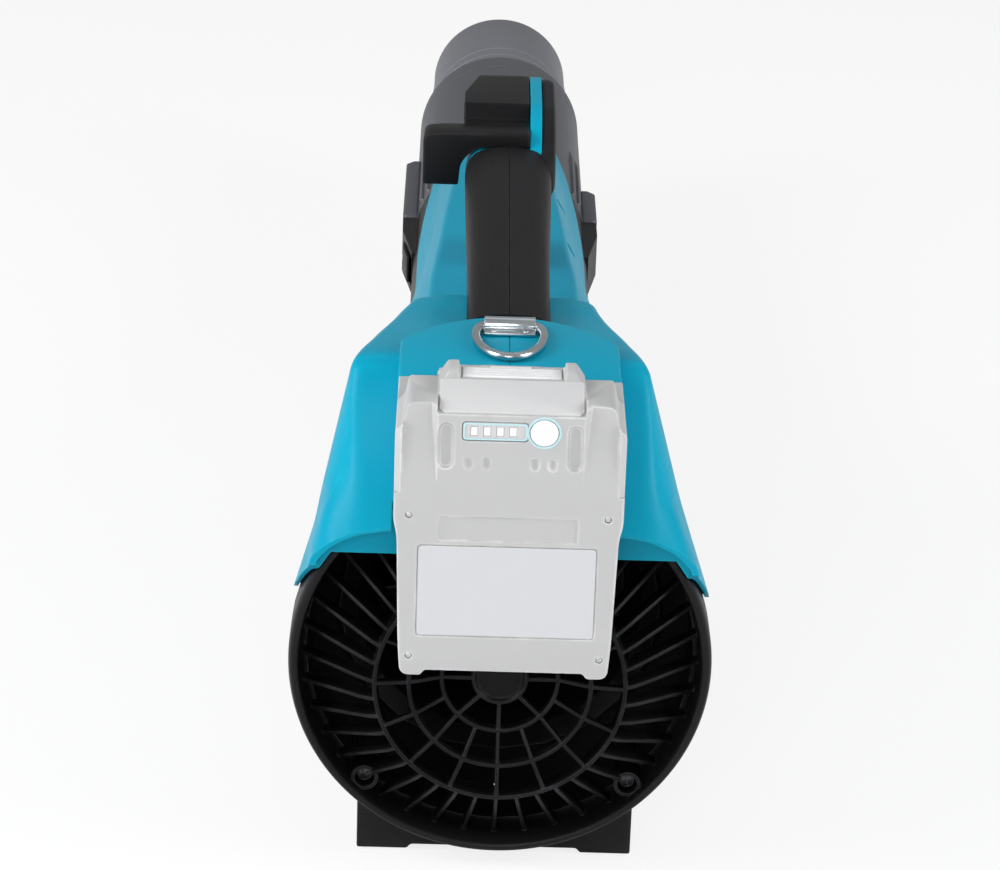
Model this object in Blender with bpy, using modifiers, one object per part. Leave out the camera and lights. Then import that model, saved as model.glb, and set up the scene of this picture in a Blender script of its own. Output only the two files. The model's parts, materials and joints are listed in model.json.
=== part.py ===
"""Handheld cordless axial leaf blower.

The model is laid out from the fan axis: X to the right, Y forward along the nozzle and Z up,
measured from the rear edge of the intake rim. One empty carries that frame and sets it on the floor,
so that the origin is at the bottom centre of the whole blower. Lengths are in metres.
"""

from math import asin, atan2, cos, degrees, pi, radians, sin, sqrt

import bmesh
import bpy
from mathutils import Matrix, Vector

GAP = 0.0003                    # play between neighbouring pieces

# Intake rim and grille
RIM_RADIUS = 0.086
AXIS_HEIGHT = RIM_RADIUS + 0.006    # fan axis above the floor
RIM_DEPTH = 0.018
LIP_RADIUS = RIM_RADIUS - 0.0056
LIP_DEPTH = 0.011
VANE_COUNT = 40
VANE_THICKNESS = 0.0016
GRILLE_RADIUS = RIM_RADIUS - 0.035
GRILLE_RISE = 0.0175            # how far the grille stands behind the rim
GRILLE_DISH = 0.0070            # how far its middle is sunk again
RING_RADII = (0.0365, 0.0234, 0.0105)
RING_WIDTH = 0.0018
RING_DEPTH = 0.0040
SPOKE_COUNT = 16
CHORD_HEIGHT = 0.0505           # the housing covers the grille above this
COVER_SCREW_RADIUS = RIM_RADIUS - 0.0098
COVER_SCREW_HEAD = 0.0038
COVER_SCREW_SHANK = 0.0019

# Duct, nozzle
DUCT_WALL = 0.0026
FAN_ZONE_RADIUS = RIM_RADIUS - 0.026
THROAT_RADIUS = FAN_ZONE_RADIUS - 0.006
FAN_ZONE_START = 0.110
FAN_ZONE_END = 0.200
PIPE_RADIUS = 0.0452
NECK_START = 0.372              # from here the duct is as wide as the pipe
DUCT_END = 0.505
SPIGOT_LENGTH = 0.047
PIPE_WALL = 0.0024
PIPE_END = 0.688
TIP_RADIUS = 0.0395
TIP_WALL = 0.0022
TIP_END = 0.785
TIP_START = 0.650
LUG_REACH = 0.0064              # lugs beyond the pipe
LUG_HALF_HEIGHT = 0.012
LUG_LENGTH = 0.060
LATCH_AXIS_Y = 0.478
LATCH_PIN_RADIUS = 0.0010
LATCH_PIN_REACH = 0.0098

# Housing
HOUSING_WALL = 0.0028
HOOD_TOP = 0.128
HOOD_REAR = -0.015
REAR_WALL = 0.0032
DOCK_HALF_WIDTH = 0.0435
DOCK_FACE = -0.0080
DOCK_FRONT = 0.062
SPINE_END = 0.565
SEAM = 0.00015                  # half of the play between the left and right pieces

# Handle
GRIP_SKIN = 0.0028
GRIP_END = 0.2445
CAVITY_WALL = 0.0030
CHEEK_INNER = 0.0096
CHEEK_OUTER = 0.0148
COLUMN_OUTER = 0.0212
LEVER_AXIS = (0.290, 0.125)
LEVER_HUB = 0.0115
LEVER_LEFT = -0.0208
PADDLE_LEFT = -0.0388
PADDLE_BOTTOM = 0.1200
PIN_RADIUS = 0.0019
TRIGGER_AXIS = (0.251, 0.111)
TRIGGER_HALF_WIDTH = 0.0086
TRIGGER_PIN = 0.0016

# Hanging ring
RING_BAR_Y = 0.0475
RING_WIRE = 0.00175
RING_HALF_WIDTH = 0.0136
RING_REACH = 0.0345
STRAP_HALF_WIDTH = 0.0103
STRAP_THICKNESS = 0.0013
STRAP_LENGTH = 0.017

# Battery
BATTERY_REAR = -0.077
BATTERY_FRONT = -0.0213
BATTERY_SPLIT = -0.046
BATTERY_BOTTOM = 0.037
BATTERY_TOP = 0.150
BATTERY_HALF_WIDTH = 0.043
BATTERY_WALL = 0.0024
CELL_RADIUS = 0.0090
CELL_LENGTH = 0.065
RAIL_INNER = 0.0223
RAIL_OUTER = 0.0282
RAIL_BOTTOM = 0.062
RAIL_TOP = 0.134
BUTTON_HALF_WIDTH = 0.0188
FRONT_DROP = 0.0115              # the battery is this much lower in front of its split
RELEASE_TRAVEL = 0.0019
HOOK_HALF_WIDTH = 0.0080
HOOK_REAR = -0.0204
HOOK_FRONT = -0.0101
HOOK_HEIGHT = RAIL_TOP - 0.0175
GAUGE_HEIGHT = BATTERY_TOP - 0.0155
GAUGE_BUTTON_X = 0.0128
GAUGE_BUTTON_RADIUS = 0.0052

# Stand
STAND_HALF_WIDTH = RIM_RADIUS - 0.029
SKID_WIDTH = 0.021
STAND_START = 0.013
STAND_END = 0.185

# Fan and motor
BLADE_COUNT = 9
GUIDE_COUNT = 7
TIP_CLEARANCE = 0.0008
HUB_RADIUS = 0.0285
HUB_START = 0.070
HUB_LENGTH = 0.034
SHAFT_RADIUS = 0.0030
POD_RADIUS = 0.0300
POD_WALL = 0.0028
POD_START = 0.108
POD_END = 0.178
BEARING_RADIUS = 0.0090
BEARING_WIDTH = 0.0060
ROTOR_RADIUS = 0.0150
STATOR_START = 0.120
STATOR_LENGTH = 0.038
TOOTH_COUNT = 12

TURN_STEPS = 20                 # sides of a round piece inside
SHELL_STEPS = 36                # sides of the duct and the pipes
WELD = 0.00005                  # slivers under this are closed up after a cut

TEAL = ((0.0, 0.29, 0.46), 0.38, 0.0)
BLACK = ((0.028, 0.028, 0.031), 0.48, 0.0)
RUBBER = ((0.040, 0.038, 0.040), 0.72, 0.0)
STEEL = ((0.55, 0.56, 0.57), 0.28, 1.0)
PALE = ((0.62, 0.63, 0.64), 0.42, 0.0)
SMOKE = ((0.30, 0.31, 0.32), 0.30, 0.0)
BRASS = ((0.70, 0.52, 0.22), 0.30, 1.0)
ALLOY = ((0.50, 0.51, 0.52), 0.45, 1.0)
COPPER = ((0.62, 0.28, 0.14), 0.35, 1.0)


# ---------------------------------------------------------------- scene and helpers

def clear_scene():
    for obj in list(bpy.data.objects):
        bpy.data.objects.remove(obj, do_unlink=True)


def make_collection(name):
    collection = bpy.data.collections.new(name)
    bpy.context.scene.collection.children.link(collection)
    return collection


clear_scene()
PARTS = make_collection("leaf_blower")
FAN_AXIS = bpy.data.objects.new("fan_axis", None)
PARTS.objects.link(FAN_AXIS)
FAN_AXIS.location = (0.0, -(TIP_END + BATTERY_REAR) / 2, AXIS_HEIGHT)


def link(name, mesh):
    obj = bpy.data.objects.new(name, mesh)
    PARTS.objects.link(obj)
    return obj


def from_bmesh(name, bm):
    """A new object from a closed bmesh, with its faces pointing out."""
    bmesh.ops.recalc_face_normals(bm, faces=bm.faces)
    mesh = bpy.data.meshes.new(name)
    bm.to_mesh(mesh)
    bm.free()
    return link(name, mesh)


def settle(obj):
    """Turn an object's modifiers or curve into its plain mesh."""
    bpy.context.view_layer.update()
    graph = bpy.context.evaluated_depsgraph_get()
    mesh = bpy.data.meshes.new_from_object(obj.evaluated_get(graph))
    bm = bmesh.new()
    bm.from_mesh(mesh)
    bmesh.ops.remove_doubles(bm, verts=bm.verts, dist=1e-6)
    bmesh.ops.recalc_face_normals(bm, faces=bm.faces)
    bm.to_mesh(mesh)
    bm.free()
    if obj.type == "MESH":
        obj.modifiers.clear()
        obj.data = mesh
        return obj
    name = obj.name
    bpy.data.objects.remove(obj)
    return link(name, mesh)


def combine(base, tool, operation):
    """Apply one Boolean to base and remove the tool."""
    step = base.modifiers.new("boolean", "BOOLEAN")
    step.operation = operation
    step.object = tool
    bpy.context.view_layer.update()
    graph = bpy.context.evaluated_depsgraph_get()
    mesh = bpy.data.meshes.new_from_object(base.evaluated_get(graph))
    bm = bmesh.new()
    bm.from_mesh(mesh)
    bmesh.ops.remove_doubles(bm, verts=bm.verts, dist=WELD)
    bmesh.ops.dissolve_degenerate(bm, edges=bm.edges, dist=WELD / 2)
    slits = [edge for edge in bm.edges if edge.is_boundary]
    if slits:
        bmesh.ops.holes_fill(bm, edges=slits, sides=5)
    bm.to_mesh(mesh)
    bm.free()
    base.modifiers.clear()
    base.data = mesh
    bpy.data.objects.remove(tool)
    return base


def join(base, *tools):
    for tool in tools:
        combine(base, tool, "UNION")
    return base


def cut(base, *tools):
    for tool in tools:
        combine(base, tool, "DIFFERENCE")
    return base


def copy_of(obj, name):
    return link(name, obj.data.copy())


def turned(name, profile, steps=TURN_STEPS):
    """Turn a closed outline of (y, radius) points about the fan axis."""
    mesh = bpy.data.meshes.new(name)
    count = len(profile)
    verts = [(radius, y, 0.0) for y, radius in profile]
    pairs = [(i, (i + 1) % count) for i in range(count)]
    edges = [(i, j) for i, j in pairs if profile[i][1] or profile[j][1]]
    mesh.from_pydata(verts, edges, [])
    obj = link(name, mesh)
    screw = obj.modifiers.new("turn", "SCREW")
    screw.axis = "Y"
    screw.steps = steps
    screw.render_steps = steps
    screw.use_merge_vertices = True
    screw.merge_threshold = 0.00001
    return settle(obj)


def block(name, xs, ys, zs, bevel=0.0):
    """A box between the given limits, with rounded edges if bevel is set."""
    bm = bmesh.new()
    bmesh.ops.create_cube(bm, size=1.0)
    size = [high - low for low, high in (xs, ys, zs)]
    middle = [(high + low) / 2 for low, high in (xs, ys, zs)]
    bmesh.ops.scale(bm, vec=size, verts=bm.verts)
    bmesh.ops.translate(bm, vec=middle, verts=bm.verts)
    if bevel:
        bmesh.ops.bevel(bm, geom=bm.edges, offset=bevel, segments=2, profile=0.5, affect="EDGES")
    return from_bmesh(name, bm)


def rod(name, start, end, radius, sides=24, end_radius=None):
    """A cylinder or cone from start to end."""
    start = Vector(start)
    along = Vector(end) - start
    bm = bmesh.new()
    far_radius = radius if end_radius is None else end_radius
    bmesh.ops.create_cone(bm, cap_ends=True, segments=sides, radius1=radius, radius2=far_radius,
                          depth=along.length)
    turn = Vector((0, 0, 1)).rotation_difference(along).to_matrix().to_4x4()
    place = Matrix.Translation(start + along / 2) @ turn
    bmesh.ops.transform(bm, matrix=place, verts=bm.verts)
    return from_bmesh(name, bm)


def extruded(name, outline, axis, low, high):
    """A flat outline made solid along x, y or z.

    The outline's points are (y, z) along x, (x, z) along y and (x, y) along z.
    """
    curve = bpy.data.curves.new(name, "CURVE")
    curve.dimensions = "2D"
    curve.fill_mode = "BOTH"
    curve.extrude = (high - low) / 2
    spline = curve.splines.new("POLY")
    spline.points.add(len(outline) - 1)
    for point, (u, v) in zip(spline.points, outline):
        point.co = (u, v, 0.0, 1.0)
    spline.use_cyclic_u = True
    obj = bpy.data.objects.new(name, curve)
    PARTS.objects.link(obj)
    solid = settle(obj)
    middle = (high + low) / 2
    columns = {"x": ((0, 0, 1), (1, 0, 0), (0, 1, 0)),
               "y": ((1, 0, 0), (0, 0, 1), (0, 1, 0)),
               "z": ((1, 0, 0), (0, 1, 0), (0, 0, 1))}[axis]
    shift = {"x": (middle, 0, 0), "y": (0, middle, 0), "z": (0, 0, middle)}[axis]
    bm = bmesh.new()
    bm.from_mesh(solid.data)
    bmesh.ops.transform(bm, matrix=Matrix.Translation(shift) @ Matrix(columns).to_4x4(),
                        verts=bm.verts)
    bmesh.ops.recalc_face_normals(bm, faces=bm.faces)
    bm.to_mesh(solid.data)
    bm.free()
    return solid


def wire(name, points, radius, cyclic=False, sides=2):
    """A round wire through the points."""
    curve = bpy.data.curves.new(name, "CURVE")
    curve.dimensions = "3D"
    curve.bevel_depth = radius
    curve.bevel_resolution = sides
    curve.use_fill_caps = not cyclic
    spline = curve.splines.new("POLY")
    spline.points.add(len(points) - 1)
    for point, place in zip(spline.points, points):
        point.co = (*place, 1.0)
    spline.use_cyclic_u = cyclic
    obj = bpy.data.objects.new(name, curve)
    PARTS.objects.link(obj)
    return settle(obj)


def loft(name, sections):
    """A closed skin over rings of points that all have the same count."""
    bm = bmesh.new()
    rings = [[bm.verts.new(point) for point in section] for section in sections]
    count = len(rings[0])
    for near, far in zip(rings, rings[1:]):
        for i in range(count):
            j = (i + 1) % count
            bm.faces.new((near[i], near[j], far[j], far[i]))
    bm.faces.new(rings[0][::-1])
    bm.faces.new(rings[-1])
    bmesh.ops.recalc_face_normals(bm, faces=bm.faces)
    bmesh.ops.triangulate(bm, faces=bm.faces)
    return from_bmesh(name, bm)


def fillet(outline, radii, steps=3, plain=()):
    """Round the corners of a closed outline, each to its own radius; plain ones get one chamfer."""
    result = []
    count = len(outline)
    for i, (corner, radius) in enumerate(zip(outline, radii)):
        here = Vector(corner)
        if not radius:
            result.append(here)
            continue
        before = Vector(outline[i - 1]) - here
        after = Vector(outline[(i + 1) % count]) - here
        reach = min(radius, 0.45 * before.length, 0.45 * after.length)
        first = here + before.normalized() * reach
        last = here + after.normalized() * reach
        pieces = 1 if i in plain else steps
        for step in range(pieces + 1):
            t = step / pieces
            result.append(first * (1 - t) ** 2 + here * 2 * t * (1 - t) + last * t ** 2)
    return result


def grown(outline, distance):
    """Move a closed outline outwards by a distance, or inwards if it is negative."""
    points = [Vector(point) for point in outline]
    count = len(points)
    turning = sum(points[i - 1].cross(points[i]) for i in range(count))
    side = 1.0 if turning > 0 else -1.0
    result = []
    for i in range(count):
        back = points[i] - points[i - 1]
        ahead = points[(i + 1) % count] - points[i]
        if back.length < 1e-9 or ahead.length < 1e-9:
            normal = Vector((0.0, 0.0))
        else:
            first = Vector((back.y, -back.x)).normalized()
            second = Vector((ahead.y, -ahead.x)).normalized()
            normal = (first + second)
            normal = normal / max(normal.length_squared / 2, 0.4)
        result.append(points[i] + normal * distance * side)
    return result


def through(knots, value):
    """Smooth monotone interpolation through sorted (position, height) knots."""
    if value <= knots[0][0]:
        return knots[0][1]
    if value >= knots[-1][0]:
        return knots[-1][1]
    slopes = [(b[1] - a[1]) / (b[0] - a[0]) for a, b in zip(knots, knots[1:])]
    tangents = [slopes[0]]
    for left, right in zip(slopes, slopes[1:]):
        tangents.append(0.0 if left * right <= 0 else 2 * left * right / (left + right))
    tangents.append(slopes[-1])
    for i, (a, b) in enumerate(zip(knots, knots[1:])):
        if value <= b[0]:
            width = b[0] - a[0]
            t = (value - a[0]) / width
            return ((2 * t ** 3 - 3 * t ** 2 + 1) * a[1] + (t ** 3 - 2 * t ** 2 + t) * width * tangents[i]
                    + (3 * t ** 2 - 2 * t ** 3) * b[1] + (t ** 3 - t ** 2) * width * tangents[i + 1])
    return knots[-1][1]


def arc(centre, radius, start, end, steps):
    """Points on an arc, angles in degrees."""
    angles = [radians(start + (end - start) * i / steps) for i in range(steps + 1)]
    return [(centre[0] + radius * cos(a), centre[1] + radius * sin(a)) for a in angles]


def finish(obj, look, pivot=None):
    """Give a piece its material, hang it in the fan frame and put its origin on its pivot."""
    colour, roughness, metallic = look
    material = bpy.data.materials.new(obj.name)
    material.use_nodes = True
    shader = material.node_tree.nodes["Principled BSDF"]
    shader.inputs["Base Color"].default_value = (*colour, 1.0)
    shader.inputs["Roughness"].default_value = roughness
    shader.inputs["Metallic"].default_value = metallic
    material.diffuse_color = (*colour, 1.0)
    obj.data.materials.clear()
    obj.data.materials.append(material)
    if pivot:
        obj.data.transform(Matrix.Translation(-Vector(pivot)))
        obj.location = pivot
    obj.data.shade_smooth()
    obj.data.set_sharp_from_angle(angle=radians(32))
    obj.parent = FAN_AXIS
    return obj


def halves(whole, left_name, right_name):
    """Split a piece at the middle plane into a left and a right one."""
    far = 2.0
    left = copy_of(whole, left_name)
    right = copy_of(whole, right_name)
    cut(left, block("right_side", (-SEAM, far), (-far, far), (-far, far)))
    cut(right, block("left_side", (-far, SEAM), (-far, far), (-far, far)))
    bpy.data.objects.remove(whole)
    return left, right


# ---------------------------------------------------------------- duct

def duct_knots():
    """Outer radius of the duct along the axis."""
    swell = RIM_RADIUS - FAN_ZONE_RADIUS
    neck = FAN_ZONE_RADIUS - PIPE_RADIUS
    run = NECK_START - FAN_ZONE_END
    return [(RIM_DEPTH + GAP, RIM_RADIUS - GAP), (0.026, RIM_RADIUS - 0.0005),
            (0.040, FAN_ZONE_RADIUS + 0.79 * swell), (0.060, FAN_ZONE_RADIUS + 0.40 * swell),
            (0.085, FAN_ZONE_RADIUS + 0.10 * swell), (FAN_ZONE_START, FAN_ZONE_RADIUS),
            (FAN_ZONE_END, FAN_ZONE_RADIUS), (FAN_ZONE_END + 0.29 * run, PIPE_RADIUS + 0.83 * neck),
            (FAN_ZONE_END + 0.58 * run, PIPE_RADIUS + 0.49 * neck),
            (FAN_ZONE_END + 0.84 * run, PIPE_RADIUS + 0.15 * neck), (NECK_START, PIPE_RADIUS)]


def duct_radius(y):
    if y < RIM_DEPTH + GAP:
        return RIM_RADIUS
    return through(duct_knots(), y)


def duct_outline():
    """Outer points of the duct from the rim to its end."""
    return duct_knots() + [(DUCT_END, PIPE_RADIUS)]


def duct_space(name):
    """Everything that the duct, the rim and the pipe fill, with their play."""
    outer = [(y, radius + GAP) for y, radius in duct_outline()]
    rear = [(-GAP, RIM_RADIUS + 2 * GAP), (RIM_DEPTH + 2 * GAP, RIM_RADIUS + 2 * GAP)]
    far = SPINE_END + 0.05
    profile = [(-GAP, 0.0)] + rear + outer[1:] + [(far, PIPE_RADIUS + GAP), (far, 0.0)]
    return turned(name, profile, SHELL_STEPS)


def cover_screw_places():
    return [(COVER_SCREW_RADIUS * cos(radians(a)), COVER_SCREW_RADIUS * sin(radians(a)))
            for a in (45, 135, 225, 315)]


def make_duct():
    """The black duct, with a screw flange at the rear and a spigot for the pipe in front."""
    spigot_radius = PIPE_RADIUS - PIPE_WALL - GAP
    spigot_bore = TIP_RADIUS + 0.0006
    flange_bore = LIP_RADIUS - 0.0014
    outer = duct_outline()
    spigot_end = DUCT_END + SPIGOT_LENGTH
    inner = [(y, radius - DUCT_WALL) for y, radius in reversed(outer[2:-1])]
    profile = (outer + [(DUCT_END, spigot_radius), (spigot_end, spigot_radius),
                        (spigot_end, spigot_bore), (DUCT_END - 0.02, spigot_bore)]
               + inner + [(0.031, flange_bore), (RIM_DEPTH + GAP, flange_bore)])
    duct = turned("duct", profile, SHELL_STEPS)
    for x, z in cover_screw_places():
        join(duct, rod("boss", (x, RIM_DEPTH + GAP, z), (x, 0.038, z), 0.0054, 10))
    for x, z in cover_screw_places():
        cut(duct, rod("hole", (x, 0.0, z), (x, 0.034, z), COVER_SCREW_SHANK + GAP, 8))
    for side in (-1, 1):
        join(duct, latch_ramp(side))
    return halves(duct, "duct_left", "duct_right")


def latch_ramp(side):
    """Ramp on the duct that leads up to a lug of the pipe."""
    inner = PIPE_RADIUS - 0.0015
    outer = PIPE_RADIUS + LUG_REACH - 0.0004
    start = DUCT_END - 0.054
    end = DUCT_END - 0.0006
    outline = [(side * inner, start), (side * (PIPE_RADIUS + 0.0006), start),
               (side * outer, end - 0.020), (side * outer, end), (side * inner, end)]
    ramp = extruded("ramp", outline, "z", -LUG_HALF_HEIGHT + 0.001, LUG_HALF_HEIGHT - 0.001)
    if side < 0:
        half = 0.0076
        cut(ramp, block("latch_slot", (-0.06, -PIPE_RADIUS - 0.0006), (start - 0.01, end + 0.01),
                        (-half, half)))
        place = (latch_middle(), LATCH_AXIS_Y)
        cut(ramp, rod("pin_hole", (*place, -LATCH_PIN_REACH - GAP), (*place, LATCH_PIN_REACH + GAP),
                      LATCH_PIN_RADIUS + GAP, 12))
    return ramp


# ---------------------------------------------------------------- housing

HOOD_STATIONS = [
    # y, top half width, top z, shoulder half width, shoulder z,
    # waist angle, waist stand, hip angle, hip stand, skirt z, skirt stand
    (-0.015, 0.0400, 0.0680, 0.0580, 0.0655, 41.1, 0.0062, 35.6, 0.0076, 0.0505, 0.0062),
    (0.000, 0.0420, 0.0870, 0.0570, 0.0845, 45.6, 0.0117, 33.7, 0.0064, 0.0420, 0.0030),
    (0.026, 0.0440, 0.1245, 0.0550, 0.1230, 43.1, 0.0110, 34.2, 0.0055, 0.0220, 0.0020),
    (0.060, 0.0360, 0.1208, 0.0486, 0.1195, 43.7, 0.0172, 33.7, 0.0105, 0.0180, 0.0020),
    (0.100, 0.0300, 0.1152, 0.0402, 0.1140, 44.0, 0.0170, 33.7, 0.0110, 0.0180, 0.0020),
    (0.122, 0.0260, 0.1140, 0.0370, 0.1115, 44.0, 0.0140, 33.7, 0.0090, 0.0180, 0.0020),
    (0.140, 0.0340, 0.0665, 0.0420, 0.0560, 40.0, 0.0060, 30.0, 0.0045, 0.0180, 0.0020),
    (0.200, 0.0340, 0.0640, 0.0415, 0.0530, 38.0, 0.0050, 29.0, 0.0035, 0.0180, 0.0020),
    (0.278, 0.0335, 0.0605, 0.0400, 0.0500, 37.0, 0.0045, 29.0, 0.0032, 0.0200, 0.0020),
    (0.345, 0.0300, 0.0585, 0.0370, 0.0465, 40.0, 0.0045, 34.0, 0.0030, 0.0200, 0.0018),
    (0.415, 0.0260, 0.0570, 0.0325, 0.0465, 44.0, 0.0040, 38.0, 0.0026, 0.0200, 0.0016),
    (0.505, 0.0200, 0.0535, 0.0260, 0.0465, 52.0, 0.0034, 47.0, 0.0024, 0.0300, 0.0016),
    (SPINE_END, 0.0110, 0.0480, 0.0150, 0.0470, 66.0, 0.0024, 63.5, 0.0020, 0.0410, 0.0016),
]
HOOD_RADII = (0.0, 0.0035, 0.0070, 0.0090, 0.0070, 0.0, 0.0)


HOOD_LEANS = [
    # y, how much further the left shoulder, waist and hip stand out than the right ones
    (-0.015, 0.0, 0.0, 0.0), (0.000, 0.0020, 0.0034, 0.0006), (0.026, 0.0070, 0.0034, 0.0012),
    (0.060, 0.0064, 0.0038, 0.0024), (0.100, 0.0060, 0.0030, 0.0020),
    (0.122, 0.0040, 0.0016, 0.0010), (0.140, 0.0, 0.0, 0.0),
    (SPINE_END, 0.0, 0.0, 0.0),
]


def hood_section(y, growth=0.0, drop=0.0):
    """Closed ring of the housing at one place along the axis."""
    top_w, top_z, shoulder_w, shoulder_z, waist_a, waist_s, hip_a, hip_s, skirt_z, skirt_s = (
        through([(row[0], row[column]) for row in HOOD_STATIONS], y) for column in range(1, 11))
    base = duct_radius(y)
    waist = radians(waist_a)
    hip = radians(hip_a)
    skirt_x = sqrt((base + skirt_s) ** 2 - skirt_z ** 2)
    half = [(0.0, top_z), (top_w, top_z), (shoulder_w, shoulder_z),
            ((base + waist_s) * cos(waist), (base + waist_s) * sin(waist)),
            ((base + hip_s) * cos(hip), (base + hip_s) * sin(hip)),
            (skirt_x, skirt_z), (0.0, skirt_z)]
    leans = [through([(row[0], row[column]) for row in HOOD_LEANS], y) for column in (1, 2, 3)]
    left = [(-x - lean, z) for (x, z), lean in zip(half[1:-1], [0.0] + leans + [0.0])]
    outline = half + left[::-1]
    radii = HOOD_RADII + tuple(reversed(HOOD_RADII[1:-1]))
    ring = fillet(outline, radii, 2, (3, 4, 8, 9))
    drops = [drop if abs(p.y - skirt_z) < 1e-7 else 0.0 for p in ring]
    if growth:
        ring = grown(ring, growth)
    return [Vector((p.x, y, p.y - down)) for p, down in zip(ring, drops)]


def hood_places(start, end):
    """Places along the axis where the housing needs a ring."""
    marks = [row[0] for row in HOOD_STATIONS] + [-0.008, 0.012, 0.043, 0.080, 0.130]
    inside = sorted(mark for mark in marks if start + 0.001 < mark < end - 0.001)
    return [start] + inside + [end]


def hood_solid(name, start, end, growth=0.0, drop=0.0):
    return loft(name, [hood_section(y, growth, drop) for y in hood_places(start, end)])


HANDLE_PATH = [
    # y, z, half width, half height of the grip along its middle line
    (0.040, 0.1050, 0.0165, 0.0150), (0.068, 0.1115, 0.0174, 0.0160), (0.110, 0.1148, 0.0174, 0.0160),
    (0.150, 0.1175, 0.0178, 0.0160), (0.200, 0.1205, 0.0188, 0.0160), (0.2465, 0.1230, 0.0196, 0.0160),
    (0.268, 0.1190, 0.0190, 0.0170), (0.287, 0.1090, 0.0180, 0.0175), (0.301, 0.0940, 0.0172, 0.0175),
    (0.311, 0.0770, 0.0165, 0.0170), (0.318, 0.0540, 0.0160, 0.0165),
]
HANDLE_BEND = 5                 # the grip ends and the pillar starts at this point of the path


def handle_ring(index, growth, points, squareness):
    """Rounded section across the handle's path at one of its points."""
    y, z, half_width, half_height = HANDLE_PATH[index]
    before = HANDLE_PATH[max(index - 1, 0)]
    after = HANDLE_PATH[min(index + 1, len(HANDLE_PATH) - 1)]
    tilt = atan2(after[1] - before[1], after[0] - before[0])
    ring = []
    for k in range(points):
        angle = 2 * pi * (k + 0.5) / points
        u = (half_width + growth) * abs(cos(angle)) ** squareness * (1 if cos(angle) > 0 else -1)
        v = (half_height + growth) * abs(sin(angle)) ** squareness * (1 if sin(angle) > 0 else -1)
        ring.append(Vector((u, y - v * sin(tilt), z + v * cos(tilt))))
    return ring


def handle_solid(name, stops, points=16, squareness=0.77):
    """Sweep along the handle's path through (point, growth) stops."""
    return loft(name, [handle_ring(index, growth, points, squareness) for index, growth in stops])


CHEEK_OUTLINE = [(0.2370, 0.1130), (0.2370, 0.1340), (0.2480, 0.1395), (0.2570, 0.1465), (0.2700, 0.1495),
                 (0.3000, 0.1500), (0.3140, 0.1480), (0.3220, 0.1410), (0.3240, 0.1280),
                 (0.3210, 0.1050), (0.3120, 0.0900), (0.2900, 0.0880), (0.2600, 0.1000)]


def cheek_plate(name, growth, low, high):
    outline = fillet(CHEEK_OUTLINE, [0.004] * len(CHEEK_OUTLINE), 2)
    return extruded(name, grown(outline, growth), "x", low, high)


def trigger_slot(name):
    half = TRIGGER_HALF_WIDTH + GAP
    return block(name, (-half, half), (0.203, 0.2605), (0.070, 0.1190))


def chord_space(name):
    """The open part of the intake below the housing's rear wall."""
    edge = RIM_RADIUS - 0.0005
    turn = degrees(asin((CHORD_HEIGHT + 2 * GAP) / edge))
    return extruded(name, arc((0.0, 0.0), edge, 180 - turn, 360 + turn, 40), "y", HOOD_REAR - 0.01,
                    0.001)


def housing_screw_places():
    return [(0.316, 0.0720), (0.348, 0.0527), (0.415, 0.0513), (0.480, 0.0502)]


SCREW_HEAD = 0.0033
SCREW_SHANK = 0.0017
SCREW_SEAT = 0.0120


def make_housing():
    """Hood, battery dock, spine and handle core, cut out for all that they hold."""
    body = hood_solid("housing", HOOD_REAR, SPINE_END)
    dock = extruded("dock", dock_outline(), "z", CHORD_HEIGHT + 0.0015, HOOD_TOP)
    core = [(i, -GRIP_SKIN) for i in range(HANDLE_BEND + 1)]
    pillar = [(i, 0.0) for i in range(HANDLE_BEND, len(HANDLE_PATH))]
    handle = handle_solid("handle", core + pillar)
    join(handle, cheek_plate("cheek", 0.0, CHEEK_INNER - 0.007, CHEEK_OUTER + 0.001))
    join(body, dock, handle)
    cut(body, duct_space("duct_space"), chord_space("chord_space"))
    cut(body, hood_solid("room", -GAP, 0.109, -HOUSING_WALL, 0.06))
    cut(body, extruded("dock_room", dock_outline(HOUSING_WALL, -GAP), "z", CHORD_HEIGHT,
                       HOOD_TOP - HOUSING_WALL))
    pocket = hood_solid("pocket", HOOD_REAR - 0.02, -REAR_WALL - GAP, -HOUSING_WALL, 0.06)
    cut(body, pocket)
    half = BATTERY_HALF_WIDTH + 0.0016
    cut(body, block("battery_space", (-half, half), (-0.09, DOCK_FACE), (0.0, 0.3)))
    cut(body, handle_cavity("cavity"), trigger_slot("slot"))
    cut(body, lever_space("lever_space"), switch_block("switch_space", GAP))
    column = cheek_plate("column_space", GAP, CHEEK_OUTER, 0.05)
    cut(body, column)
    cut(body, cross_hole("trigger_hole", TRIGGER_AXIS, -0.0125, 0.0125, TRIGGER_PIN + GAP))
    cut(body, cross_hole("lever_hole", LEVER_AXIS, 0.0, 0.05, PIN_RADIUS + GAP))
    for place in housing_screw_places():
        cut(body, cross_hole("shank", place, -0.010 - 2 * GAP, SCREW_SEAT + 0.001, SCREW_SHANK + GAP))
        cut(body, cross_hole("head", place, SCREW_SEAT, 0.08, SCREW_HEAD + GAP))
    return halves(body, "housing_left", "housing_right")


def dock_outline(inset=0.0, rear=DOCK_FACE):
    """Top view of the battery dock, with its bowed front."""
    edge = DOCK_HALF_WIDTH - inset
    side = 0.033 - inset
    bow = [(edge * (1 - 2 * t), side + (DOCK_FRONT - 0.033) * sin(pi * t) ** 0.7)
           for t in (i / 8 for i in range(9))]
    return [(-edge, rear), (edge, rear)] + bow


def cross_hole(name, place, start, end, radius):
    """A round cutter across the machine."""
    y, z = place
    return rod(name, (start, y, z), (end, y, z), radius, 10)


def handle_cavity(name):
    """Hollow of the handle core, which opens into the hood."""
    growth = -GRIP_SKIN - CAVITY_WALL
    return handle_solid(name, [(i, growth) for i in range(HANDLE_BEND + 1)], 12)


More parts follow.
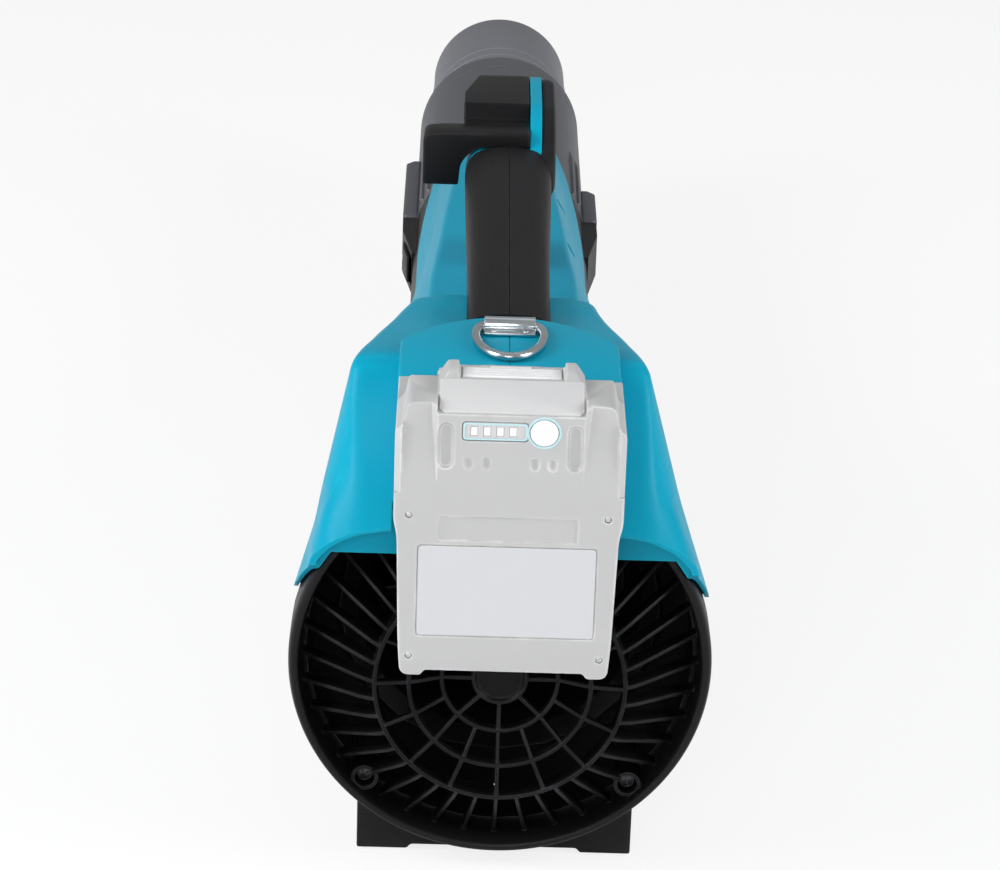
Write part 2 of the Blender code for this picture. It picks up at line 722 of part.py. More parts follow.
def lever_space(name):
    """Room above and before the pillar for the lever to turn in."""
    deep = block(name, (-0.060, CHEEK_INNER), (0.2575, 0.36), (LEVER_AXIS[1] - LEVER_HUB - 0.0008, 0.20))
    return join(deep, block("shelf", (-0.060, CHEEK_INNER), (GRIP_END, 0.36), (0.1368, 0.20)))


def make_grip():
    """Soft skin of the handle, in two halves; the right one also covers the cheek."""
    along = range(1, HANDLE_BEND + 1)
    skin = handle_solid("grip", [(i, 0.0) for i in along])
    cut(skin, block("behind", (-0.1, 0.1), (GRIP_END, 0.4), (0.0, 0.3)))
    column = cheek_plate("column", -0.0006, CHEEK_OUTER - 0.001, COLUMN_OUTER)
    cut(skin, hood_solid("hood", HOOD_REAR, SPINE_END, GAP))
    cut(skin, block("dock", (-DOCK_HALF_WIDTH - GAP, DOCK_HALF_WIDTH + GAP), (-0.1, DOCK_FRONT + GAP),
                    (0.0, HOOD_TOP + GAP)))
    cut(skin, handle_solid("core", [(i, GAP - GRIP_SKIN) for i in range(HANDLE_BEND + 1)]))
    cut(skin, trigger_slot("slot"))
    left, right = halves(skin, "grip_left", "grip_right")
    join(right, column)
    cut(right, cheek_plate("cheek", GAP, CHEEK_INNER - 0.007 - GAP, CHEEK_OUTER + GAP))
    cut(right, cross_hole("lever_hole", LEVER_AXIS, 0.0, CHEEK_OUTER + 0.0025, PIN_RADIUS + GAP))
    return left, right


# ---------------------------------------------------------------- intake cover

def grille_depth(radius):
    """Rear face of the grille at a radius: sunk towards the middle."""
    edge = RING_RADII[0]
    inner = RING_RADII[1]
    if radius >= edge:
        return -GRILLE_RISE + 0.0015 * (GRILLE_RADIUS - radius) / (GRILLE_RADIUS - edge)
    if radius <= inner:
        return -GRILLE_RISE + GRILLE_DISH
    share = (edge - radius) / (edge - inner)
    return -GRILLE_RISE + 0.0015 + (GRILLE_DISH - 0.0015) * share


def radial_plate(name, outline, angle, thickness):
    """A plate whose outline is (radius, y), turned about the axis."""
    plate = extruded(name, outline, "z", -thickness / 2, thickness / 2)
    plate.data.transform(Matrix.Rotation(radians(angle), 4, "Y"))
    return plate


def merged(name, pieces):
    """Join pieces that don't touch each other into one mesh."""
    bm = bmesh.new()
    for piece in pieces:
        bm.from_mesh(piece.data)
        bpy.data.objects.remove(piece)
    return from_bmesh(name, bm)


def make_intake_cover():
    """Rim with a funnel, forty raised vanes, three rings and their spokes."""
    rim = turned("intake_cover", [
        (RIM_DEPTH, RIM_RADIUS), (0.0035, RIM_RADIUS), (0.0012, RIM_RADIUS - 0.0008),
        (0.0, RIM_RADIUS - 0.0026), (0.0004, RIM_RADIUS - 0.0040), (0.0030, LIP_RADIUS + 0.0006),
        (LIP_DEPTH, LIP_RADIUS), (RIM_DEPTH, LIP_RADIUS)], VANE_COUNT)
    rim.data.transform(Matrix.Rotation(pi / VANE_COUNT, 4, "Y"))
    kink = GRILLE_RADIUS + 0.0040
    vane_outline = [(LIP_RADIUS + 0.001, LIP_DEPTH - 0.001), (LIP_RADIUS + 0.001, RIM_DEPTH - 0.0015),
                    (kink, -0.0020), (GRILLE_RADIUS - 0.0010, -0.0090),
                    (GRILLE_RADIUS - 0.0010, -GRILLE_RISE + 0.0014), (kink, -GRILLE_RISE + 0.0050)]
    vanes = merged("vanes", [radial_plate("vane", vane_outline, 360 * i / VANE_COUNT, VANE_THICKNESS)
                             for i in range(VANE_COUNT)])
    join(rim, vanes)
    ring_y = -GRILLE_RISE
    grille_ring = turned("grille_ring", [(ring_y, GRILLE_RADIUS - RING_WIDTH),
                                         (ring_y + 0.0094, GRILLE_RADIUS - RING_WIDTH),
                                         (ring_y + 0.0094, GRILLE_RADIUS), (ring_y, GRILLE_RADIUS)],
                         VANE_COUNT)
    grille_ring.data.transform(Matrix.Rotation(pi / VANE_COUNT, 4, "Y"))
    join(rim, grille_ring)
    spokes = []
    for i in range(SPOKE_COUNT):
        reach = GRILLE_RADIUS - 0.001
        inner = RING_RADII[2] if i % 2 == 0 else RING_RADII[1]
        radii = sorted({reach, RING_RADII[0], RING_RADII[1], inner}, reverse=True)
        rear = [(r, grille_depth(r) + 0.0004) for r in radii]
        front = [(r, y + RING_DEPTH - 0.0008) for r, y in reversed(rear)]
        spokes.append(radial_plate("spoke", rear + front, 360 * i / SPOKE_COUNT, VANE_THICKNESS))
    rings = []
    for radius in RING_RADII[:2]:
        y = grille_depth(radius)
        half = RING_WIDTH / 2
        rings.append(turned("ring", [(y, radius - half), (y + RING_DEPTH, radius - half),
                                     (y + RING_DEPTH, radius + half), (y, radius + half)], 24))
    y = grille_depth(0.0)
    rings.append(turned("disc", [(y, 0.0), (y + RING_DEPTH, 0.0), (y + RING_DEPTH, RING_RADII[2] + 0.001),
                                 (y, RING_RADII[2] + 0.001)], 16))
    join(rim, merged("rings", rings))
    join(rim, merged("spokes", spokes))
    for x, z in cover_screw_places():
        join(rim, rod("boss", (x, 0.0036, z), (x, RIM_DEPTH, z), 0.0056, 14))
        cut(rim, rod("shank", (x, -0.03, z), (x, 0.03, z), COVER_SCREW_SHANK + GAP, 8))
        cut(rim, rod("head", (x, -0.03, z), (x, 0.0095, z), COVER_SCREW_HEAD + GAP, 14))
    far = 0.12
    cut(rim, block("above_chord", (-far, far), (-0.05, -GAP / 2 + 0.0), (CHORD_HEIGHT, far)))
    return finish(rim, BLACK)


def make_cover_screws():
    for number, (x, z) in enumerate(cover_screw_places(), 1):
        screw = rod("cover_screw_%d" % number, (x, 0.0070, z), (x, 0.0095 - GAP, z), COVER_SCREW_HEAD, 12)
        join(screw, rod("shank", (x, 0.0085, z), (x, 0.033, z), COVER_SCREW_SHANK, 10))
        finish(screw, STEEL)


# ---------------------------------------------------------------- stand

def make_stand():
    """Two skids and two cross walls that carry the duct."""
    bottom = -AXIS_HEIGHT
    edge = STAND_HALF_WIDTH
    inner = edge - SKID_WIDTH
    outline = [(-edge, bottom), (-inner, bottom), (-inner + 0.0015, bottom + 0.002),
               (inner - 0.0015, bottom + 0.002), (inner, bottom), (edge, bottom),
               (edge, bottom + 0.024), (edge - 0.012, bottom + 0.044),
               (-edge + 0.012, bottom + 0.044), (-edge, bottom + 0.024)]
    stand = extruded("stand", outline, "y", STAND_START, STAND_END)
    cut(stand, duct_space("duct_space"))
    wall = 0.016
    cut(stand, block("well", (-inner + 0.004, inner - 0.004), (STAND_START + 0.014, STAND_END - wall),
                     (bottom - 0.01, -0.02)))
    window = fillet([(0.052, bottom + 0.011), (STAND_END - wall, bottom + 0.011),
                     (STAND_END - wall - 0.008, bottom + 0.05), (0.052, bottom + 0.05)],
                    [0.006, 0.006, 0.0, 0.0], 3)
    cut(stand, extruded("window", window, "x", -0.1, 0.1))
    return finish(stand, BLACK)


# ---------------------------------------------------------------- fan and motor

def blade(name, roots, tips, thickness, steps=6):
    """A twisted blade from (radius, start y, end y, sweep degrees) at root and tip."""
    sections = []
    for radius, start, end, sweep in (roots, tips):
        ring = []
        for side in (1, -1):
            for i in range(steps + 1):
                t = i / steps if side > 0 else 1 - i / steps
                y = start + (end - start) * t
                angle = radians(sweep) * (t ** 1.4 - 0.5)
                half = thickness / 2 * (0.35 + sin(pi * min(max(t, 0.04), 0.96)))
                angle += side * half / radius
                ring.append(Vector((radius * cos(angle), y, radius * sin(angle))))
        sections.append(ring)
    return loft(name, sections)


def blade_row(name, count, roots, tips, thickness, steps=4):
    blades = []
    for i in range(count):
        piece = blade("blade", roots, tips, thickness, steps)
        piece.data.transform(Matrix.Rotation(2 * pi * i / count, 4, "Y"))
        blades.append(piece)
    return merged(name, blades)


def make_fan():
    hub_end = HUB_START + HUB_LENGTH
    bore = SHAFT_RADIUS + GAP
    fan = turned("fan", [(HUB_START, bore), (HUB_START, 0.0235), (HUB_START + 0.004, HUB_RADIUS),
                         (hub_end, HUB_RADIUS), (hub_end, HUB_RADIUS - 0.002),
                         (HUB_START + 0.010, HUB_RADIUS - 0.0035), (HUB_START + 0.010, bore + 0.004),
                         (hub_end - 0.004, bore + 0.004), (hub_end - 0.004, bore)])
    reach = THROAT_RADIUS - TIP_CLEARANCE
    row = blade_row("blades", BLADE_COUNT, (HUB_RADIUS - 0.0010, HUB_START + 0.006, hub_end - 0.003, 44),
                    (reach, HUB_START + 0.010, hub_end - 0.006, 30), 0.0026)
    return finish(join(fan, row), BLACK, (0.0, HUB_START, 0.0))


def make_spinner():
    base = HUB_START - GAP
    bore = SHAFT_RADIUS + GAP
    spinner = turned("spinner", [(base, bore), (base - 0.009, bore), (base - 0.009, 0.0),
                                 (base - 0.0145, 0.0), (base - 0.0137, 0.0060), (base - 0.0110, 0.0125),
                                 (base - 0.0065, 0.0188), (base, 0.0235)])
    return finish(spinner, BLACK, (0.0, HUB_START, 0.0))


def make_shroud():
    """Throat with a bell mouth, guide vanes and the motor pod."""
    wall = 0.0020
    throat = THROAT_RADIUS
    end = POD_END - 0.002
    seat = FAN_ZONE_RADIUS - DUCT_WALL - GAP
    skin = throat + wall
    shroud = turned("fan_shroud", [
        (0.0560, throat + 0.0128), (0.0620, throat + 0.0064), (0.0715, throat + 0.0020), (0.0840, throat),
        (end, throat), (end, seat), (end - 0.005, seat), (end - 0.005, skin),
        (0.1180, skin), (0.1180, seat), (0.1130, seat), (0.1130, skin),
        (0.0850, skin), (0.0735, skin + 0.0020), (0.0640, skin + 0.0060), (0.0580, skin + 0.0120)])
    inner = POD_RADIUS - POD_WALL
    rear = POD_START + 0.003
    nest = BEARING_RADIUS + GAP
    pod = turned("pod", [
        (POD_START, SHAFT_RADIUS + 0.001), (POD_START, POD_RADIUS - 0.002), (POD_START + 0.002, POD_RADIUS),
        (POD_END, POD_RADIUS), (POD_END, inner), (rear, inner), (rear, nest + 0.0025),
        (rear + BEARING_WIDTH, nest + 0.0025), (rear + BEARING_WIDTH, nest), (rear, nest),
        (rear, SHAFT_RADIUS + 0.001)])
    guides = blade_row("guides", GUIDE_COUNT, (POD_RADIUS - 0.0010, 0.121, 0.166, -24),
                       (throat + 0.0010, 0.121, 0.166, -18), 0.0024, 3)
    join(pod, guides)
    return finish(join(shroud, pod), BLACK)


def ring_piece(name, start, end, inner, outer, look, steps=18, pivot=None):
    return finish(turned(name, [(start, inner), (start, outer), (end, outer), (end, inner)], steps),
                  look, pivot)


def make_stator():
    outer = POD_RADIUS - POD_WALL - GAP
    end = STATOR_START + STATOR_LENGTH
    yoke = turned("stator", [(STATOR_START, outer - 0.004), (STATOR_START, outer), (end, outer),
                             (end, outer - 0.004)])
    teeth = []
    for i in range(TOOTH_COUNT):
        tooth = block("tooth", (ROTOR_RADIUS + 0.0008, outer - 0.003), (STATOR_START, end),
                      (-0.0019, 0.0019))
        tooth.data.transform(Matrix.Rotation(2 * pi * i / TOOTH_COUNT, 4, "Y"))
        teeth.append(tooth)
    return finish(join(yoke, merged("teeth", teeth)), STEEL)


def make_coils():
    """The two ends of the winding, on either side of the stator."""
    inner = ROTOR_RADIUS + 0.002
    outer = POD_RADIUS - POD_WALL - 0.005
    rounds = []
    for start, end in ((STATOR_START - 0.0048, STATOR_START - GAP),
                       (STATOR_START + STATOR_LENGTH + GAP, STATOR_START + STATOR_LENGTH + 0.0048)):
        rounds.append(turned("coil", [(start, inner + 0.001), (start, outer - 0.001),
                                      ((start + end) / 2, outer), (end, outer - 0.001),
                                      (end, inner + 0.001), ((start + end) / 2, inner)]))
    legs = []
    for i in range(TOOTH_COUNT):
        leg = block("leg", (inner + 0.0015, outer - 0.0006), (STATOR_START - 0.001, STATOR_START
                    + STATOR_LENGTH + 0.001), (-0.0018, 0.0018))
        leg.data.transform(Matrix.Rotation(2 * pi * (i + 0.5) / TOOTH_COUNT, 4, "Y"))
        legs.append(leg)
    coils = merged("stator_coils", rounds)
    return finish(join(coils, merged("legs", legs)), COPPER)


def make_tail_cone():
    """Cap of the pod with the front bearing's nest, ending in a cone."""
    nest = BEARING_RADIUS + GAP
    fit = POD_RADIUS - POD_WALL - GAP
    wall = 0.0024
    seat = POD_END + GAP
    nest_start = STATOR_START + STATOR_LENGTH + 0.006
    back = nest_start + BEARING_WIDTH + 0.0005
    cone = turned("tail_cone", [
        (nest_start, nest), (nest_start, nest + 0.0024), (back, nest + 0.0024), (back, fit - wall),
        (back - 0.004, fit - wall), (back - 0.004, fit), (seat, fit), (seat, POD_RADIUS),
        (seat + 0.022, POD_RADIUS - 0.003), (seat + 0.045, POD_RADIUS - 0.012),
        (seat + 0.060, 0.0080), (seat + 0.063, 0.0), (seat + 0.060, 0.0), (seat + 0.044, POD_RADIUS - 0.0150),
        (seat + 0.022, POD_RADIUS - 0.0058), (seat + 0.002, fit - wall), (back + wall, fit - wall),
        (back + wall, SHAFT_RADIUS + 0.001), (back, SHAFT_RADIUS + 0.001), (back, nest)])
    return finish(cone, BLACK)


def make_motor():
    make_shroud()
    make_tail_cone()
    make_stator()
    make_coils()
    axis = (0.0, HUB_START, 0.0)
    bore = SHAFT_RADIUS + GAP
    nest_front = STATOR_START + STATOR_LENGTH + 0.006
    finish(rod("motor_shaft", (0, HUB_START - 0.0085, 0), (0, nest_front + BEARING_WIDTH, 0),
               SHAFT_RADIUS, 20), STEEL, axis)
    ring_piece("rotor", STATOR_START - 0.001, STATOR_START + STATOR_LENGTH + 0.001, bore, ROTOR_RADIUS,
               STEEL, 24, axis)
    rear = POD_START + 0.003 + GAP
    ring_piece("bearing_rear", rear, rear + BEARING_WIDTH, bore, BEARING_RADIUS, STEEL)
    ring_piece("bearing_front", nest_front + 0.0001, nest_front + BEARING_WIDTH, bore, BEARING_RADIUS, STEEL)
    make_fan()
    make_spinner()


# ---------------------------------------------------------------- nozzle

def lug(side, start, length):
    """Block at the side of the pipe, chamfered at both ends."""
    inner = PIPE_RADIUS - 0.0016
    outer = PIPE_RADIUS + LUG_REACH
    outline = [(side * inner, start), (side * (outer - 0.0015), start), (side * outer, start + 0.002),
               (side * outer, start + length - 0.005), (side * (outer - 0.004), start + length),
               (side * inner, start + length)]
    return extruded("lug", outline, "z", -LUG_HALF_HEIGHT, LUG_HALF_HEIGHT)


def make_pipe():
    """Wide pipe, pushed over the duct's spigot, with a lug on each side."""
    start = DUCT_END + GAP
    bore = PIPE_RADIUS - PIPE_WALL
    collar = 0.018
    guide = TIP_RADIUS + 0.0004
    pipe = turned("nozzle_pipe", [
        (start, bore), (start, PIPE_RADIUS), (PIPE_END - 0.0035, PIPE_RADIUS),
        (PIPE_END - 0.0012, PIPE_RADIUS - 0.0008), (PIPE_END, PIPE_RADIUS - 0.0028), (PIPE_END, guide),
        (PIPE_END - collar, guide), (PIPE_END - collar - 0.004, bore)], SHELL_STEPS)
    join(pipe, lug(1, start + 0.0002, LUG_LENGTH * 0.8), lug(-1, start + 0.0002, LUG_LENGTH * 1.5))
    rib_start = start + 0.004
    fairing = []
    for side in (-1, 1):
        outline = [(PIPE_RADIUS - 0.001, rib_start), (PIPE_RADIUS + 0.0016, rib_start + 0.002),
                   (PIPE_RADIUS + 0.0016, rib_start + 0.060), (PIPE_RADIUS - 0.001, rib_start + 0.085)]
        for angle in (24, 32):
            turn = angle if side > 0 else 180 - angle
            fairing.append(radial_plate("rib", outline, -turn, 0.0022))
    join(pipe, merged("ribs", fairing))
    return finish(pipe, BLACK, (0.0, DUCT_END, 0.0))


def make_tip():
    """Narrow end pipe that slides in the wide one."""
    flange = PIPE_RADIUS - PIPE_WALL - 0.0004
    bore = TIP_RADIUS - TIP_WALL
    tip = turned("nozzle_tip", [
        (TIP_START, bore), (TIP_START, flange), (TIP_START + 0.008, flange),
        (TIP_START + 0.0105, TIP_RADIUS), (TIP_END - 0.040, TIP_RADIUS), (TIP_END - 0.037, TIP_RADIUS - 0.0006),
        (TIP_END - 0.0015, TIP_RADIUS - 0.0006), (TIP_END, TIP_RADIUS - 0.0018), (TIP_END, bore)], SHELL_STEPS)
    return finish(tip, BLACK, (0.0, TIP_START, 0.0))


def latch_middle():
    """Middle of the latch's thickness at the left side of the pipe."""
    return -PIPE_RADIUS - LUG_REACH / 2


def make_latch():
    """Sprung rocker in the slot of the left ramp, and its pin."""
    outer = PIPE_RADIUS + LUG_REACH - 0.0010
    inner = PIPE_RADIUS + 0.0010
    start = DUCT_END - 0.052
    end = DUCT_END - 0.0006
    slope = 0.016
    outline = [(-inner, start + slope), (-inner, end), (-outer, end), (-outer, start + slope),
               (-inner - 0.0020, start + 0.002), (-inner - 0.0006, start + 0.002)]
    latch = extruded("nozzle_latch", outline, "z", -0.0072, 0.0072)
    place = (latch_middle(), LATCH_AXIS_Y)
    cut(latch, rod("bore", (*place, -0.02), (*place, 0.02), LATCH_PIN_RADIUS + GAP, 12))
    finish(latch, BLACK, (*place, 0.0))
    pin = rod("latch_pin", (*place, -LATCH_PIN_REACH), (*place, LATCH_PIN_REACH), LATCH_PIN_RADIUS, 12)
    return finish(pin, STEEL)


# ---------------------------------------------------------------- handle controls

def make_lever():
    """Lever cap with its stepped top, hub and hollow thumb paddle."""
    axis_y, axis_z = LEVER_AXIS
    right = CHEEK_INNER - GAP
    block_outline = [(0.2452, 0.1373), (0.2452, 0.1448), (0.2590, 0.1450), (0.2605, 0.1476),
                     (0.2665, 0.1480), (0.2680, 0.1500), (0.3080, 0.1500), (0.3170, 0.1465),
                     (0.3180, 0.1385), (0.3040, 0.1373)]
    lever = extruded("control_lever", block_outline, "x", LEVER_LEFT, right)
    wedge = [(LEVER_LEFT - 0.002, 0.2805), (-0.0108, 0.3200), (LEVER_LEFT - 0.002, 0.3200)]
    cut(lever, extruded("wedge", wedge, "z", 0.10, 0.20))
    side = 0.0065
    join(lever, block("neck", (-0.0140, right), (axis_y - 0.009, axis_y + 0.009), (axis_z, 0.1385)),
         cross_hole("hub", LEVER_AXIS, -0.0140, right, LEVER_HUB))
    top = 0.1448
    paddle = [(LEVER_LEFT + 0.002, top), (LEVER_LEFT + 0.002, 0.1373), (LEVER_LEFT + 0.0004, PADDLE_BOTTOM),
              (PADDLE_LEFT, PADDLE_BOTTOM), (PADDLE_LEFT, top - side)]
    paddle += [(PADDLE_LEFT + side * (1 - cos(radians(a))), top - side + side * sin(radians(a)))
               for a in (30, 60, 90)]
    join(lever, extruded("paddle", paddle, "y", 0.2452, 0.2590))
    hollow = fillet([(LEVER_LEFT - 0.0010, top - 0.0080), (LEVER_LEFT - 0.0010, PADDLE_BOTTOM + 0.0016),
                     (PADDLE_LEFT + 0.0016, PADDLE_BOTTOM + 0.0016), (PADDLE_LEFT + 0.0016, top - 0.0060)],
                    [0.0, 0.001, 0.001, 0.003], 2)
    cut(lever, extruded("hollow", hollow, "y", 0.230, 0.2540))
    cut(lever, cross_hole("bore", LEVER_AXIS, -0.05, 0.05, PIN_RADIUS + GAP))
    finish(lever, BLACK, (0.0, axis_y, axis_z))
    pin = cross_hole("lever_pin", LEVER_AXIS, -0.0143, CHEEK_OUTER + 0.002, PIN_RADIUS)
    join(pin, cross_hole("head", LEVER_AXIS, -0.0163, -0.0143, 0.0040))
    return finish(pin, STEEL)


def make_trigger():
    axis_y, axis_z = TRIGGER_AXIS
    outline = [(0.2060, 0.1130), (0.2062, 0.1020), (0.2085, 0.0900), (0.2150, 0.0845), (0.2250, 0.0838),
               (0.2360, 0.0880), (0.2460, 0.0960), (0.2560, 0.1060), (0.2573, 0.1110),
               (0.2555, 0.1160), (0.2510, 0.1176), (0.2440, 0.1160)]
    corners = [0.0015, 0.0, 0.004, 0.003, 0.003, 0.004, 0.004, 0.003, 0.003, 0.003, 0.003, 0.002]
    trigger = extruded("trigger", fillet(outline, corners, 2), "x", -TRIGGER_HALF_WIDTH, TRIGGER_HALF_WIDTH)
    cut(trigger, cross_hole("bore", TRIGGER_AXIS, -0.05, 0.05, TRIGGER_PIN + GAP))
    cut(trigger, block("notch", (-0.0036, 0.0036), (0.2425, 0.27), (0.1030, 0.13)))
    finish(trigger, BLACK, (0.0, axis_y, axis_z))
    finish(cross_hole("trigger_pin", TRIGGER_AXIS, -0.0122, 0.0122, TRIGGER_PIN), STEEL)
    turns = 3
    steps = 9
    coil = []
    for i in range(turns * steps + 1):
        angle = 2 * pi * i / steps
        coil.append((-0.0026 + 0.0052 * i / (turns * steps), axis_y + 0.0026 * cos(angle),
                     axis_z + 0.0026 * sin(angle)))
    return finish(wire("trigger_spring", coil, 0.0005, sides=1), STEEL)


def switch_block(name, growth):
    """The switch module, or with growth the pocket that it sits in."""
    half = 0.0085 + growth
    return block(name, (-half, half), (0.196 - growth, 0.236 + growth), (0.1240 - growth, 0.1306 + growth))


def make_switch():
    finish(switch_block("switch_module", 0.0), BLACK)
    route = [(0.0050, 0.0190, 0.1105), (0.0050, 0.0260, 0.1106), (0.0048, 0.0400, 0.1080),
             (0.0046, 0.0600, 0.1088), (0.0044, 0.0900, 0.1130), (0.0042, 0.1300, 0.1165),
             (0.0040, 0.1650, 0.1215), (0.0038, 0.1850, 0.1252), (0.0036, 0.1955, 0.1262)]
    smooth = []
    pieces = 18
    for i in range(pieces + 1):
        y = route[0][1] + (route[-1][1] - route[0][1]) * i / pieces
        smooth.append((through([(p[1], -p[0]) for p in route], y) * -1, y,
                       through([(p[1], p[2]) for p in route], y)))
    return finish(wire("switch_lead", smooth, 0.0018, sides=1), BLACK)


# ---------------------------------------------------------------- dock and controller

def make_dock():
    """Plate with two hooked rails, its stop ledge, the terminal block and the blades."""
    rear = DOCK_FACE - GAP
    plate_rear = rear - 0.0034
    hook_inner = RAIL_INNER + GAP
    rail_inner = RAIL_OUTER + GAP
    outer = 0.0340
    bottom = RAIL_BOTTOM - 0.007
    top = 0.127
    neck = plate_rear - GAP - 0.0036
    half = [(rail_inner, plate_rear), (rail_inner, neck - GAP), (hook_inner, neck - GAP),
            (hook_inner, neck - 0.0036), (outer, neck - 0.0036), (outer, rear)]
    outline = [(x, y) for x, y in half] + [(-x, y) for x, y in reversed(half)]
    plate = extruded("dock_plate", outline, "z", bottom, top)
    ledge = block("ledge", (-RAIL_OUTER, RAIL_OUTER), (neck, rear - 0.001), (bottom, RAIL_BOTTOM - GAP))
    join(plate, ledge)
    half = HOOK_HALF_WIDTH + GAP
    cut(plate, block("catch", (-half, half), (-0.05, HOOK_FRONT + 2 * GAP),
                     (HOOK_HEIGHT - GAP, HOOK_HEIGHT + 0.0038 + GAP)))
    finish(plate, BLACK)
    block_rear = plate_rear - 0.0066
    terminal = block("terminal_block", (-0.0160, 0.0160), (block_rear, plate_rear - GAP),
                     (RAIL_BOTTOM, 0.0760), 0.0006)
    finish(terminal, BLACK)
    for name, x in (("terminal_left", -0.0110), ("terminal_middle", 0.0), ("terminal_right", 0.0110)):
        contact = block(name, (x - 0.0004, x + 0.0004), (block_rear + 0.0012, plate_rear - 0.0016),
                        (0.0760 + GAP, 0.0980))
        finish(contact, BRASS)


def make_controller():
    """Potted motor electronics with a finned heat sink, on the inner side of the dock wall."""
    low = RIM_RADIUS + 0.0035
    case = block("controller", (-0.034, 0.034), (GAP / 2, 0.0100), (low, low + 0.030), 0.0010)
    for i in range(9):
        x = -0.030 + 0.0075 * i
        join(case, block("fin", (x - 0.0009, x + 0.0009), (0.0090, 0.0180), (low + 0.001, low + 0.029)))
    return finish(case, ALLOY)


# ---------------------------------------------------------------- battery

def battery_outline(growth=0.0):
    """Rear view of the battery case: narrow foot, wide body, stepped top."""
    edge = BATTERY_HALF_WIDTH
    half = [(edge - 0.0028, BATTERY_BOTTOM), (edge - 0.0028, 0.0720), (edge, 0.0780),
            (edge, BATTERY_TOP - 0.0150), (edge - 0.0030, BATTERY_TOP - 0.0120),
            (edge - 0.0045, BATTERY_TOP - 0.0040), (0.0275, BATTERY_TOP - 0.0034),
            (0.0240, BATTERY_TOP + 0.0020), (0.0200, BATTERY_TOP + 0.0020), (0.0198, BATTERY_TOP)]
    radii = [0.005, 0.006, 0.006, 0.002, 0.002, 0.003, 0.0015, 0.001, 0.0006, 0.0]
    outline = half + [(-x, z) for x, z in reversed(half)]
    return grown(fillet(outline, radii + radii[::-1], 2), growth)


def make_battery():
    case = extruded("case", battery_outline(), "y", BATTERY_REAR, BATTERY_FRONT)
    for side in (-1, 1):
        xs = sorted((side * 0.0310, side * 0.0390))
        join(case, block("foot", xs, (BATTERY_REAR + 0.002, -0.030), (BATTERY_BOTTOM - 0.0022,
                                                                   BATTERY_BOTTOM + 0.004), 0.0008))
    chamfer = [(BATTERY_REAR - 0.01, BATTERY_TOP - 0.0195), (BATTERY_REAR + 0.0205, BATTERY_TOP + 0.01),
               (BATTERY_REAR - 0.01, BATTERY_TOP + 0.01)]
    cut(case, extruded("chamfer", chamfer, "x", -0.1, 0.1))
    neck_rear = DOCK_FACE - GAP - 0.0034 - GAP - 0.0036
    flange_front = DOCK_FACE - GAP - 0.0034 - GAP
    join(case, block("neck", (-RAIL_INNER, RAIL_INNER), (BATTERY_FRONT - 0.001, neck_rear + 0.001),
                     (RAIL_BOTTOM, RAIL_TOP)),
         block("hook_tower", (-0.0115, 0.0115), (BATTERY_FRONT - 0.0014, neck_rear - 0.0004),
               (RAIL_TOP - 0.002, BATTERY_TOP - FRONT_DROP - 0.0005)),
         block("flange", (-RAIL_OUTER, RAIL_OUTER), (neck_rear, flange_front), (RAIL_BOTTOM, RAIL_TOP)))
    cut(case, block("terminal_room", (-0.0170, 0.0170), (BATTERY_FRONT + 0.0012, 0.0), (0.05, 0.104)))
    inner_top = BATTERY_TOP - 0.0162
    cell_front = BATTERY_FRONT - 0.0022
    cut(case, block("cell_room", (-0.0380, 0.0380), (BATTERY_REAR + BATTERY_WALL, cell_front),
                    (BATTERY_BOTTOM + BATTERY_WALL, inner_top)))
    cut(case, release_shape("release_room", GAP))
    face = BATTERY_REAR
    cut(case, extruded("gauge_room", grown(gauge_outline(), GAP), "y", face - 0.01, face + 0.0012))
    place = (GAUGE_BUTTON_X, GAUGE_HEIGHT)
    cut(case, rod("check_room", (place[0], face - 0.01, place[1]), (place[0], face + 0.0021, place[1]),
                  GAUGE_BUTTON_RADIUS + GAP, 24))
    plate = fillet([(-0.035, 0.051), (0.035, 0.051), (0.035, 0.089), (-0.035, 0.089)], [0.002] * 4, 2)
    cut(case, extruded("plate_room", plate, "y", face - 0.01, face + 0.0006))
    battery_grooves(case)
    rear = copy_of(case, "battery_case_rear")
    cut(rear, block("front", (-0.1, 0.1), (BATTERY_SPLIT - SEAM, 0.1), (0.0, 0.2)))
    front = copy_of(case, "battery_case_front")
    cut(front, block("rear", (-0.1, 0.1), (-0.2, BATTERY_SPLIT + SEAM), (0.0, 0.2)),
        block("above", (-0.1, 0.1), (-0.1, 0.0), (BATTERY_TOP - FRONT_DROP, 0.2)))
    bpy.data.objects.remove(case)
    finish(rear, PALE)
    finish(front, PALE)
    make_battery_inside(cell_front, inner_top)
    make_battery_buttons()


def battery_grooves(case):
    """Shallow channels and steps that the case has on its rear face."""
    face = BATTERY_REAR
    for side in (-1, 1):
        xs = sorted((side * 0.0285, side * 0.0272))
        cut(case, block("channel", xs, (face - 0.01, face + 0.0009), (0.096, 0.142)))
    for z in (0.0960, 0.1235):
        cut(case, block("line", (-0.0285, 0.0285), (face - 0.01, face + 0.0007), (z - 0.0006, z + 0.0006)))


def gauge_outline():
    half = 0.0050
    outline = [(-0.0180, GAUGE_HEIGHT - half), (0.0066, GAUGE_HEIGHT - half),
               (0.0066, GAUGE_HEIGHT + half), (-0.0180, GAUGE_HEIGHT + half)]
    return fillet(outline, [0.0015] * 4, 3)


